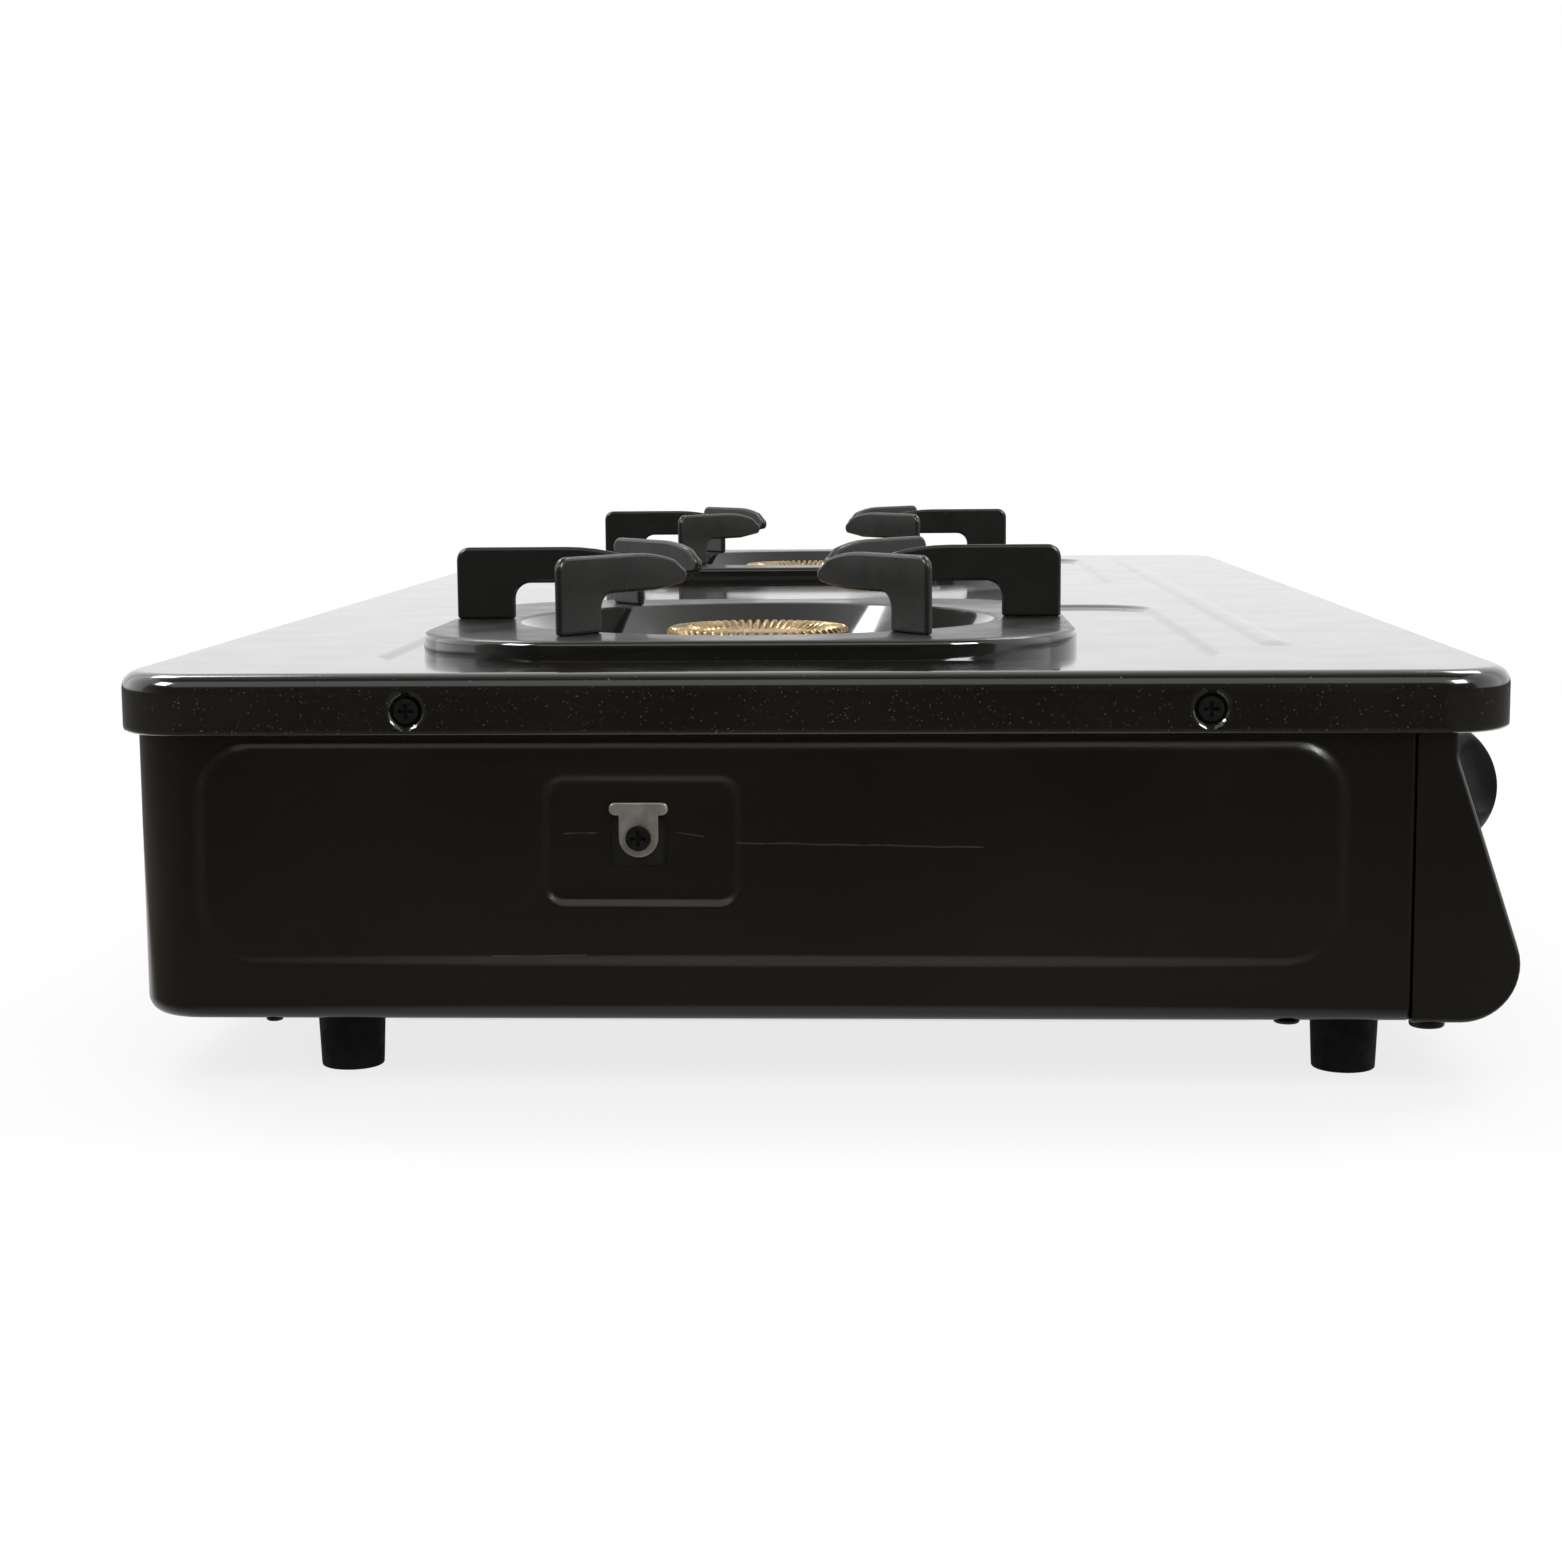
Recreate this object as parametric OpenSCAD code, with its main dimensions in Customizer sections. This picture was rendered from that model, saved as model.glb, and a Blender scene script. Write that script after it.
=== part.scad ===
// Two-burner table-top gas stove: an enamelled pressed top plate on a steel casing, two brass
// burners under six-finger pan supports, and two push-and-turn gas taps on a sloping front panel.
// Frame: X along the stove, front towards -Y, Z up from the table, origin under the middle of its box.

/* [Overall] */
// Length of the top plate
plate_l = 700; // [660:5:800]
// Depth of the top plate, front to back
plate_d = 380; // [360:2:420]
// Height of the feet that shows below the casing
foot_h = 18; // [14:1:30]
// Height of the casing that shows below the rim
wall_h = 79; // [72:0.2:90]
// Height of the top plate's turned-down rim
rim_h = 16.8; // [15:0.2:22]
// Thickness of the steel sheet
sheet_t = 1.2; // [0.8:0.1:1.5]

/* [Top plate] */
// Radius of the plate's corners seen from above
corner_r = 22; // [18:1:28]
// Radius of the plate's upper edge
edge_r = 5; // [4:0.5:10]
// How far the rim stands out past the casing
overhang = 4.3; // [3:0.1:6]
// Depth of the spill wells round the burners
well_depth = 1.2; // [0.8:0.1:2]
// Corner radius of the spill wells
well_r = 22; // [14:1:30]
// Room between a pan support and the outer end of its well
well_margin = 1.5; // [1:0.5:4]
// Room between a pan support and the back of its well
well_back = 7.5; // [2:0.5:12]
// Room between a pan support and the front of its well
well_front = 38; // [10:1:45]
// Room between a pan support and the inner end of its well
well_inner = 46; // [10:1:60]
// Room between a bowl and the edge of the hole in the plate that it hangs through
plate_hole_gap = 4; // [2:0.5:5]
// Length of the pressed bead along the front of the plate
bead_l = 532; // [300:2:560]
// Width of the bead
bead_w = 9; // [6:0.5:12]
// Height of the bead
bead_h = 0.8; // [0.4:0.1:1.2]
// Distance of the bead from the plate's front edge
bead_inset = 53; // [40:1:58]
// Distance of a rim screw from the middle of the plate's end
rim_screw_y = 107.5; // [80:0.5:130]
// Distance of a rim screw below the top of the plate
rim_screw_drop = 10; // [9.4:0.1:11]

/* [Casing] */
// Outer radius of the bend at the foot of the casing walls
bend_r = 3.5; // [2:0.5:8]
// Width of the lip turned in under the casing
lip_w = 7; // [4:0.5:8]
// Length of a side panel's return round the back corner
return_l = 14; // [12:1:30]
// Depth of the front panel, from the plate's front edge back to its seam
front_d = 27.6; // [22:0.2:32]
// Height of the pressed field on a side panel
field_h = 60.8; // [50:0.2:64]
// Corner radius of the pressed field
field_r = 12; // [6:1:20]
// How far the field stands out
field_out = 1.4; // [0.8:0.1:1.8]
// Distance of the field from the back face of the casing
field_back = 22; // [16:1:40]
// Distance of the field from the seam with the front panel
field_front = 19; // [10:1:40]
// Distance of the field below the rim
field_drop = 2.6; // [2:0.1:6]
// Width of the recessed pad on a side panel
pad_w = 52; // [40:0.2:60]
// Height of the recessed pad
pad_h = 34; // [28:0.1:38]
// Corner radius of the recessed pad
pad_r = 5; // [2:0.5:8]
// Distance from the middle of the pad to the tab in it, towards the front
tab_shift = -0.8; // [-6:0.2:6]
// Distance of the tab from the middle of the stove, towards the back
tab_y = 45.5; // [40:0.5:60]
// Width of the slot behind the tab
slot_w = 15.5; // [12:0.5:18]
// Height of the slot behind the tab
slot_h = 14; // [12:0.5:18]
// Distance of the back screws from the top and the foot of the casing
back_screw_in = 22; // [16:1:30]
// Distance of the back panel's end straps from the top and the foot of the casing
strap_in = 12; // [8:1:14]
// Number of vent slots in each row of the back panel
vent_count = 9; // [5:1:11]
// Distance between vent slots
vent_pitch = 12; // [10:1:14]

/* [Feet] */
// Radius of a foot at its top
foot_r = 9.6; // [8:0.2:12]
// Distance of a foot from the end of the casing
foot_end = 26; // [26:1:60]
// Distance of the rear feet from the back of the casing
foot_back = 55; // [30:1:80]
// Distance of the front feet from the front panel's seam
foot_front = 13.5; // [12:0.5:30]

/* [Front panel] */
// Distance of the panel's neck behind the plate's front edge
neck_inset = 16.4; // [12.8:0.1:18]
// Height of the straight neck that shows below the rim
neck_h = 6.4; // [4:0.2:12]
// Slope of the panel's face from upright, in degrees
face_tilt = 18.2; // [10:0.2:20]
// Radius of the rounded bottom of the panel
nose_r = 15.7; // [12:0.1:18]

/* [Pan supports] */
// Half the width of a pan support's plate
pan_half = 98; // [97:0.5:102]
// Corner radius of a pan support's plate
pan_r = 52; // [30:1:60]
// Height of the plate's skirt above the well
skirt_h = 6.8; // [5:0.2:10]
// Radius of the plate's upper edge
pan_edge_r = 2; // [2:0.2:4]
// Radius of the mouth of the bowl
bowl_mouth_r = 76; // [74.5:0.5:78]
// Radius of the bowl's floor
bowl_floor_r = 58; // [50:1:62]
// Depth of the bowl
bowl_depth = 13.4; // [11:0.2:15]
// Radius of the hole in the bowl's floor
bowl_hole_r = 36; // [35:0.5:40]
// Angle of a pan support's corner fingers from the stove's length, in degrees
finger_spread = 34; // [28:1:40]
// Height of a finger above the plate
finger_h = 22.7; // [18:0.1:30]
// Thickness of a finger
finger_t = 2.6; // [2:0.1:4]
// Radius at the outer edge of the fingers
finger_out_r = 96; // [92:0.5:96]
// Radius at the tips of the fingers
finger_tip_r = 37; // [34:0.5:50]
// Width of a finger's leg
leg_w = 18.6; // [12:0.2:19]
// Height of a finger's arm where it leaves the leg
arm_h = 11.4; // [8:0.2:14]
// Height of a finger's arm at its tip
arm_tip_h = 5; // [3:0.2:7]

/* [Burners] */
// Distance of a burner's middle from the end of the plate
burner_end = 138; // [130:1:150]
// Distance of the burners behind the middle of the plate
burner_y = 20; // [10:1:24]
// Radius of a brass burner cap
cap_r = 29; // [26:0.5:30]
// Height of a burner cap
cap_h = 10; // [8:0.5:12]
// Height of a burner cap's top above the top plate
cap_rise = 3; // [1:0.5:5]
// Number of flame slots round a cap
cap_slots = 36; // [24:1:44]
// Wall of the cast burner
cast_wall = 3; // [2.4:0.1:4]
// Outer radius of the mixing tube
mix_r = 10; // [8:0.5:11]
// Outer radius of the tube's air bell
bell_r = 15; // [13:0.5:16]
// Length of the air bell
bell_l = 14; // [13:0.5:18]
// Length of the air shutter
shutter_l = 9; // [7:0.5:10]
// Wall of the air shutter
shutter_t = 1.4; // [1:0.1:1.8]

/* [Gas taps] */
// Height of a knob's middle on the panel
knob_z = 62; // [58:0.5:66]
// Radius of a knob
knob_r = 21; // [18:0.5:24]
// Height of a knob
knob_h = 26; // [18:0.5:28]
// Rounding of a knob's outer edge
knob_round = 8; // [4:0.5:10]
// Radius of the ring on the panel behind a knob
bezel_r = 24; // [22:0.5:27]
// Thickness of the ring
bezel_t = 1.5; // [1:0.1:2]
// How far a knob is pushed in
push_travel = 3; // [2:0.5:3.5]
// Radius of a tap's spindle
spindle_r = 4; // [3:0.2:4.6]
// Radius of a tap's body
tap_r = 11; // [10:0.5:12]
// Length of a tap's body
tap_l = 27.6; // [26:0.2:32]
// Outer radius of the gas rail
rail_r = 6; // [5:0.5:7]
// Wall of the gas rail and of the supply pipe
pipe_wall = 1.5; // [1:0.1:2]
// Outer radius of the supply pipe from the rail to the inlet
supply_r = 5; // [4.5:0.1:5.2]
// Distance of the gas inlet from the middle of the stove
inlet_x = 60; // [40:5:110]
// Radius of the hose spigot
spigot_r = 4.75; // [4:0.05:5]
// Length of the plain part of the hose spigot
spigot_l = 22; // [16:1:30]

/* [Clearances] */
// Gap at the seams between sheets
seam_gap = 0.3; // [0.2:0.1:0.6]
// Gap under a knob's ring on the sloping panel
ring_gap = 0.05; // [0.02:0.01:0.1]
// Clearance round a screw, pipe or rod in its hole
slip = 0.15; // [0.1:0.05:0.3]
// Running clearance of a turning piece, on the radius
run_gap = 0.05; // [0.03:0.01:0.08]

/* [Hidden] */
$fn = 64;

ENAMEL = "#20211f";
CASING = "#191a18";
PANEL = "#1b1c1a";
RUBBER = "#0e0e0d";
BARE_STEEL = "#9a9a96";
CAST = "#4a4b4a";
BRASS = "#c8a25a";
BLACK_PLASTIC = "#131313";
CERAMIC = "#e8e4da";

// Levels above the table
base_z = foot_h;
rim_z = base_z + wall_h;
top_z = rim_z + rim_h;
well_z = top_z - well_depth;
floor_z = base_z + sheet_t;
pan_z = well_z + skirt_h;
bowl_z = pan_z - bowl_depth;
cap_z = top_z + cap_rise - cap_h;

// Plan of the plate and the casing
half_l = plate_l / 2;
half_d = plate_d / 2;
body_x = half_l - overhang;
back_y = half_d - overhang;
seam_y = front_d - half_d;
body_r = corner_r - overhang;
burner_x = half_l - burner_end;
tube_gap = overhang - sheet_t;

// Tops of the casing and of the front panel, just under the inside of the plate's rounded edge
function inside_edge(out) = top_z - edge_r + sqrt(pow(edge_r - sheet_t, 2) - pow(max(out, 0), 2)) - 0.2;
casing_top = inside_edge(edge_r - overhang);
front_top = inside_edge(norm([body_r, neck_inset - corner_r]) - corner_r + edge_r);

// Hole in the plate, round the bowl where that passes the floor of the well
bowl_drop = sheet_t * 1.3;
plate_hole_r = bowl_floor_r + plate_hole_gap
    + (well_z - bowl_z + bowl_drop) * (bowl_mouth_r - bowl_floor_r) / bowl_depth;

// Front panel: its face runs from the neck down to a rounded nose
neck_y = neck_inset - half_d;
neck_z = rim_z - neck_h;
nose_z = base_z + nose_r;
nose_y = neck_y + (nose_r + sin(face_tilt) * (nose_z - neck_z)) / cos(face_tilt);
knob_y = neck_y - (neck_z - knob_z) * tan(face_tilt);

// Tap layout, as depths behind the panel's face along the spindle
knob_lift = bezel_t + push_travel + 0.5;
collar_t = 1.2;
collar_at = sheet_t + 1.8;
washer_at = collar_at + collar_t;
washer_t = 1.2;
spring_at = washer_at + washer_t;
spring_l = push_travel + 2;
tap_at = spring_at + spring_l;
spindle_in = tap_at + 13.6;
outlet_at = tap_at + 19.6;
rail_at = tap_at + 13.6;
rail_drop = tap_r + rail_r - 1;
saddle_wall = 3;
saddle_l = 16;
mix_z = knob_z - outlet_at * sin(face_tilt);
rail_y = knob_y + rail_at * cos(face_tilt) - rail_drop * sin(face_tilt);
rail_z = knob_z - rail_at * sin(face_tilt) - rail_drop * cos(face_tilt);
outlet_y = knob_y + outlet_at * cos(face_tilt);
outlet_l = 19;
outlet_r = 7;
outlet_bore_r = 3.5;
outlet_bore_l = 10;
injector_y = outlet_y + outlet_l;
injector_hex_l = 6;
injector_tip_l = 10;
bell_y = injector_y + injector_hex_l + 4;

// Burner layout
col_r = 15;
col_z = mix_z - 13;
arm_t = 2;
head_r = cap_r - 1;
head_lip_h = 8;
electrode_r = 1.7;
electrode_at = cap_r + 1.5 + electrode_r;
electrode_top = top_z - 3;
electrode_l = 30;
lug_h = 10;

// Tab on the side panels
pad_y = tab_y + tab_shift;
field_top = rim_z - field_drop;
tab_screw_z = rim_z - 28;
slot_top = tab_screw_z + 6.1;

// Gas inlet
nozzle_r = 7;
nozzle_flange_r = 11;
nozzle_flange_t = 3;
nozzle_in = 14;
nozzle_socket = 8;
tip_l = 3;

// The origin lies under the middle of the box: the knobs reach furthest forward, the spigot back
knob_top = knob_lift + knob_h;
front_reach = -knob_y + cos(face_tilt) * (knob_top - knob_round)
    + sin(face_tilt) * (knob_r - knob_round) + knob_round;
back_reach = back_y + nozzle_flange_t + spigot_l + tip_l;
origin_shift = (front_reach - back_reach) / 2;

// Points along an arc
function arc(c, r, a0, a1, n = 12) =
    [for (i = [0 : n]) c + r * [cos(a0 + (a1 - a0) * i / n), sin(a0 + (a1 - a0) * i / n)]];

// Moves the plate's middle to where the origin lies under the whole object
module in_frame() {
    translate([0, origin_shift, 0]) children();
}

// Local frame of a tap: origin on the panel's face, +Z out along the spindle, +Y up the slope
module on_panel(s) {
    translate([s * burner_x, knob_y, knob_z]) rotate([90 - face_tilt, 0, 0]) children();
}

// Rectangle with round corners, centred
module round_rect(w, h, r) {
    square([w - 2 * r, h], center = true);
    square([w, h - 2 * r], center = true);
    for (x = [-1, 1], y = [-1, 1]) {
        translate([x * (w / 2 - r), y * (h / 2 - r)]) circle(r);
    }
}

// Stadium along X, centred
module stadium(l, w) {
    square([l - w, w], center = true);
    for (x = [-1, 1]) translate([x * (l - w) / 2, 0]) circle(w / 2);
}

// Quarter of a ring, from the direction a0 on
module quarter_ring(r, t, a0) {
    intersection() {
        difference() {
            circle(r);
            circle(r - t);
        }
        rotate(a0) square(r);
    }
}

// Sheet turned down at its edge, as a section from a corner's middle outwards
module turned_edge(r, edge, top, bottom) {
    translate([r - sheet_t, bottom]) square([sheet_t, top - edge - bottom]);
    translate([r - edge, top - edge]) quarter_ring(edge, sheet_t, 0);
    translate([0, top - sheet_t]) square([r - edge, sheet_t]);
}

// Straight run of a section along X, towards +Y of the line y
module run_x(x0, x1, y) {
    translate([x0, y, 0]) rotate([90, 0, 90]) linear_extrude(x1 - x0) children();
}

// Straight run of a section along Y, towards +X of the line x
module run_y(y0, y1, x) {
    translate([x, y1, 0]) rotate([90, 0, 0]) linear_extrude(y1 - y0) children();
}

// Rectangular lid with turned-down edges and round corners
module turned_lid(hx, hy, r, edge, top, bottom) {
    translate([r - hx, r - hy, top - sheet_t]) cube([2 * (hx - r), 2 * (hy - r), sheet_t]);
    for (m = [0, 1]) {
        mirror([0, m, 0]) run_x(r - hx, hx - r, hy - r) turned_edge(r, edge, top, bottom);
        mirror([m, 0, 0]) run_y(r - hy, hy - r, hx - r) turned_edge(r, edge, top, bottom);
        for (n = [0, 1]) {
            mirror([m, 0, 0]) mirror([0, n, 0]) translate([hx - r, hy - r, 0])
                rotate_extrude(angle = 90) turned_edge(r, edge, top, bottom);
        }
    }
}

// Cross-head screw: head above z = 0, shank below
module screw(head_r, head_h, shank_r, l) {
    recess = head_h * 0.6;
    difference() {
        cylinder(r = head_r, h = head_h);
        for (a = [0, 90]) {
            rotate(a) translate([-head_r * 0.6, -head_r * 0.14, head_h - recess])
                cube([head_r * 1.2, head_r * 0.28, recess + 1]);
        }
    }
    translate([0, 0, -l]) cylinder(r = shank_r, h = l);
}

// Sizes of the screws
sheet_shank_r = 1.8;
sheet_head_r = 3.4;
sheet_head_h = 1.6;
sheet_screw_l = 6;

// Places of the screws
module at_rim_screws() {
    for (s = [-1, 1], y = [-rim_screw_y, rim_screw_y]) {
        translate([s * half_l, y, top_z - rim_screw_drop]) rotate([0, s * 90, 0]) children();
    }
}
module at_tab_screws() {
    for (s = [-1, 1]) {
        translate([s * (body_x + sheet_t), tab_y, tab_screw_z]) rotate([0, s * 90, 0]) children();
    }
}
module at_back_screws() {
    for (s = [-1, 1], z = [base_z + back_screw_in, casing_top - back_screw_in]) {
        translate([s * (body_x - body_r - return_l / 2), back_y, z]) rotate([-90, 0, 0]) children();
    }
}
panel_screw_at = [-0.86, -0.3, 0.3, 0.86];
module at_panel_screws() {
    for (k = panel_screw_at) {
        translate([k * body_x, seam_y - 4.5, base_z]) rotate([180, 0, 0]) children();
    }
}
foot_rear_y = back_y - foot_back;
foot_front_y = seam_y + foot_front;
module at_feet() {
    for (s = [-1, 1], y = [foot_front_y, foot_rear_y]) {
        translate([s * (body_x - foot_end), y, 0]) children();
    }
}

dimple_depth = 2.2;
dimple_r = sheet_head_r + 0.5;

// Spill well's outline, one for each burner
module well_outline(s, grow) {
    x0 = burner_x - pan_half - well_inner;
    x1 = burner_x + pan_half + well_margin;
    y0 = burner_y - pan_half - well_front;
    y1 = burner_y + pan_half + well_back;
    translate([s * (x0 + x1) / 2, (y0 + y1) / 2])
        round_rect(x1 - x0 + 2 * grow, y1 - y0 + 2 * grow, well_r + grow);
}

module top_plate() {
    color(ENAMEL) in_frame() difference() {
        union() {
            turned_lid(half_l, half_d, corner_r, edge_r, top_z, rim_z);
            for (s = [-1, 1]) {
                translate([0, 0, well_z - sheet_t])
                    linear_extrude(well_depth) well_outline(s, sheet_t);
            }
            translate([0, bead_inset - half_d, top_z]) linear_extrude(bead_h) stadium(bead_l, bead_w);
            at_rim_screws() translate([0, 0, -overhang]) cylinder(r = dimple_r + 1.4, h = tube_gap);
        }
        for (s = [-1, 1]) {
            translate([0, 0, well_z]) linear_extrude(well_depth + 1) well_outline(s, 0);
            translate([s * burner_x, burner_y, well_z - sheet_t - 1])
                cylinder(r = plate_hole_r, h = sheet_t + 2);
        }
        at_rim_screws() {
            translate([0, 0, -dimple_depth])
                cylinder(r1 = dimple_r, r2 = dimple_r + 0.5, h = dimple_depth + 0.01);
            translate([0, 0, -overhang - 1]) cylinder(r = sheet_shank_r + slip, h = overhang + 1);
        }
    }
}

// Casing wall with its bend and lip, as a section from a corner's middle outwards
module wall_section() {
    translate([body_r - sheet_t, base_z + bend_r]) square([sheet_t, casing_top - base_z - bend_r]);
    translate([body_r - bend_r, base_z + bend_r]) quarter_ring(bend_r, sheet_t, 270);
    translate([body_r - bend_r - lip_w, base_z]) square([lip_w, sheet_t]);
}

// The field on a side panel, in the plane of the panel: x runs to the back, y up
module field_outline(grow) {
    y0 = seam_y + field_front;
    y1 = back_y - field_back;
    translate([(y0 + y1) / 2, field_top - field_h / 2])
        round_rect(y1 - y0 + 2 * grow, field_h + 2 * grow, field_r + grow);
}
module pad_outline(grow) {
    translate([pad_y, slot_top - slot_h / 2])
        round_rect(pad_w + 2 * grow, pad_h + 2 * grow, pad_r + grow);
}

// Stands a flat outline against the left end of the casing, from x = a outwards to x = b
module on_left_end(a, b) {
    translate([-b, 0, 0]) rotate([90, 0, 90]) linear_extrude(b - a) children();
}

module left_panel_shape() {
    inner_x = body_x - sheet_t;
    difference() {
        union() {
            mirror([1, 0, 0]) {
                run_y(seam_y, back_y - body_r, body_x - body_r) wall_section();
                translate([body_x - body_r, back_y - body_r, 0])
                    rotate_extrude(angle = 90) wall_section();
                run_x(body_x - body_r - return_l, body_x - body_r, back_y - body_r) wall_section();
            }
            on_left_end(body_x - 0.2, body_x + field_out) field_outline(0);
        }
        on_left_end(inner_x - 1, inner_x + field_out) difference() {
            field_outline(-sheet_t);
            pad_outline(sheet_t);
        }
        on_left_end(body_x, body_x + field_out + 1) pad_outline(0);
        on_left_end(inner_x - 1, body_x + 1)
            translate([tab_y, slot_top - slot_h / 2]) square([slot_w, slot_h], center = true);
        at_rim_screws() translate([0, 0, -overhang - sheet_t - 1])
            cylinder(r = sheet_shank_r + slip, h = sheet_t + 2);
        at_back_screws() translate([0, 0, -sheet_t - 1]) cylinder(r = sheet_shank_r + slip, h = sheet_t + 2);
    }
}

module left_side_panel() {
    color(CASING) in_frame() left_panel_shape();
}

module right_side_panel() {
    color(CASING) in_frame() mirror([1, 0, 0]) left_panel_shape();
}

module back_panel() {
    end_x = body_x - body_r - return_l - seam_gap;
    strap_l = return_l - 2;
    vent_w = 5;
    vent_h = 24;
    color(CASING) in_frame() difference() {
        union() {
            run_x(-end_x, end_x, back_y - body_r) wall_section();
            for (s = [-1, 1]) {
                translate([s * end_x - strap_l, back_y - 2 * sheet_t, base_z + strap_in])
                    cube([2 * strap_l, sheet_t, casing_top - base_z - 2 * strap_in]);
            }
        }
        for (s = [-1, 1], i = [0 : vent_count - 1]) {
            translate([s * burner_x + (i - (vent_count - 1) / 2) * vent_pitch, back_y - sheet_t - 1,
                rim_z - vent_h])
                rotate([-90, 90, 0]) linear_extrude(sheet_t + 2) stadium(vent_h, vent_w);
        }
        at_back_screws() translate([0, 0, -2 * sheet_t - 1])
            cylinder(r = sheet_shank_r + slip, h = 2 * sheet_t + 2);
        translate([inlet_x, back_y - sheet_t - 1, rail_z]) rotate([-90, 0, 0])
            cylinder(r = nozzle_r + slip, h = sheet_t + 2);
    }
}

module base_pan() {
    half_x = body_x - bend_r - 0.4;
    y1 = back_y - bend_r - 0.4;
    y0 = seam_y - 9;
    vent_l = 70;
    vent_w = 7;
    color(CASING) in_frame() difference() {
        translate([0, (y0 + y1) / 2, floor_z])
            linear_extrude(sheet_t) round_rect(2 * half_x, y1 - y0, body_r - bend_r);
        for (s = [-1, 1], i = [-2 : 2]) {
            translate([s * burner_x, burner_y + i * 3 * vent_w, floor_z - 1])
                linear_extrude(sheet_t + 2) stadium(vent_l, vent_w);
        }
        at_feet() translate([0, 0, floor_z - 1]) cylinder(r = sheet_shank_r + slip, h = sheet_t + 2);
        at_panel_screws() translate([0, 0, -2 * sheet_t - 1])
            cylinder(r = sheet_shank_r + slip, h = 2 * sheet_t + 2);
    }
}

// Section of the front panel's outside, or of the space in it when t is the sheet's thickness
module panel_section(t) {
    back = t > 0 ? seam_y + 1 : seam_y - seam_gap;
    top = t > 0 ? front_top + 1 : front_top;
    polygon(concat(
        [[back, top], [neck_y + t, top], [neck_y + t, neck_z - t * tan(face_tilt / 2)]],
        arc([nose_y, nose_z], nose_r - t, 180 - face_tilt, 270),
        [[back, base_z + t]]
    ));
}

module front_panel() {
    inner = body_x - sheet_t;
    color(PANEL) in_frame() difference() {
        run_x(-body_x, body_x, 0) panel_section(0);
        run_x(-inner, inner, 0) panel_section(sheet_t);
        for (s = [-1, 1]) on_panel(s) translate([0, 0, -2 * sheet_t])
            cylinder(r = spindle_r + 3, h = 4 * sheet_t);
        at_panel_screws() translate([0, 0, -sheet_t - 1])
            cylinder(r = sheet_shank_r + slip, h = sheet_t + 2);
    }
}

foot_taper = 0.8;
foot_pocket_r = 4.6;
foot_pocket_h = 12;

module foot(s, y) {
    color(RUBBER) in_frame() translate([s * (body_x - foot_end), y, 0]) difference() {
        cylinder(r1 = foot_r - foot_taper, r2 = foot_r, h = floor_z);
        translate([0, 0, -1]) cylinder(r = foot_pocket_r, h = foot_pocket_h + 1);
        cylinder(r = sheet_shank_r + slip, h = floor_z + 1);
    }
}

module foot_screws() {
    l = floor_z - foot_pocket_h + sheet_t + 4;
    color(BARE_STEEL) in_frame() at_feet() translate([0, 0, foot_pocket_h])
        rotate([180, 0, 0]) screw(sheet_head_r, sheet_head_h, sheet_shank_r, l);
}

module rim_screws() {
    color(ENAMEL) in_frame() at_rim_screws() translate([0, 0, -dimple_depth])
        screw(sheet_head_r, sheet_head_h, sheet_shank_r, sheet_screw_l);
}

module tab_screws() {
    color(CAST) in_frame() at_tab_screws() screw(sheet_head_r, sheet_head_h, sheet_shank_r, sheet_screw_l);
}

module back_screws() {
    color(CASING) in_frame() at_back_screws()
        screw(sheet_head_r, sheet_head_h, sheet_shank_r, sheet_screw_l);
}

module panel_screws() {
    color(CASING) in_frame() at_panel_screws()
        screw(sheet_head_r, sheet_head_h, sheet_shank_r, sheet_screw_l);
}

// T-shaped clip plate on the outside of a side panel's pad
clip_bar_w = 16;
clip_bar_h = 3.4;
clip_stem_w = 10.7;

module clip_plate_shape() {
    stem_h = slot_top - tab_screw_z;
    on_left_end(body_x, body_x + sheet_t) difference() {
        translate([tab_y, 0]) {
            translate([0, slot_top + clip_bar_h / 2]) stadium(clip_bar_w, clip_bar_h);
            translate([-clip_stem_w / 2, tab_screw_z]) square([clip_stem_w, stem_h + clip_bar_h / 2]);
            translate([0, tab_screw_z]) circle(clip_stem_w / 2);
        }
        translate([tab_y, tab_screw_z]) circle(sheet_shank_r + slip);
    }
}

module left_clip_plate() {
    color(BARE_STEEL) in_frame() clip_plate_shape();
}

module right_clip_plate() {
    color(BARE_STEEL) in_frame() mirror([1, 0, 0]) clip_plate_shape();
}

// Bracket from the left side panel to the foot of the burner
module burner_bracket_shape() {
    inner_x = body_x - sheet_t;
    leg_half = 8;
    leg_top = tab_screw_z + 8;
    arm_back = tab_y + leg_half;
    arm_front = burner_y - 8;
    difference() {
        union() {
            translate([-inner_x, tab_y - leg_half, col_z - arm_t])
                cube([arm_t, 2 * leg_half, leg_top - col_z + arm_t]);
            translate([-inner_x, arm_front, col_z - arm_t])
                cube([inner_x - burner_x + col_r, arm_back - arm_front, arm_t]);
        }
        translate([-inner_x - 1, tab_y, tab_screw_z]) rotate([0, 90, 0])
            cylinder(r = sheet_shank_r + slip, h = arm_t + 2);
        translate([-burner_x, burner_y, col_z - arm_t - 1]) cylinder(r = bolt_r + slip, h = arm_t + 2);
    }
}

module left_burner_bracket() {
    color(BARE_STEEL) in_frame() burner_bracket_shape();
}

module right_burner_bracket() {
    color(BARE_STEEL) in_frame() mirror([1, 0, 0]) burner_bracket_shape();
}

bolt_r = 2.5;
bolt_l = 6;

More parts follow.
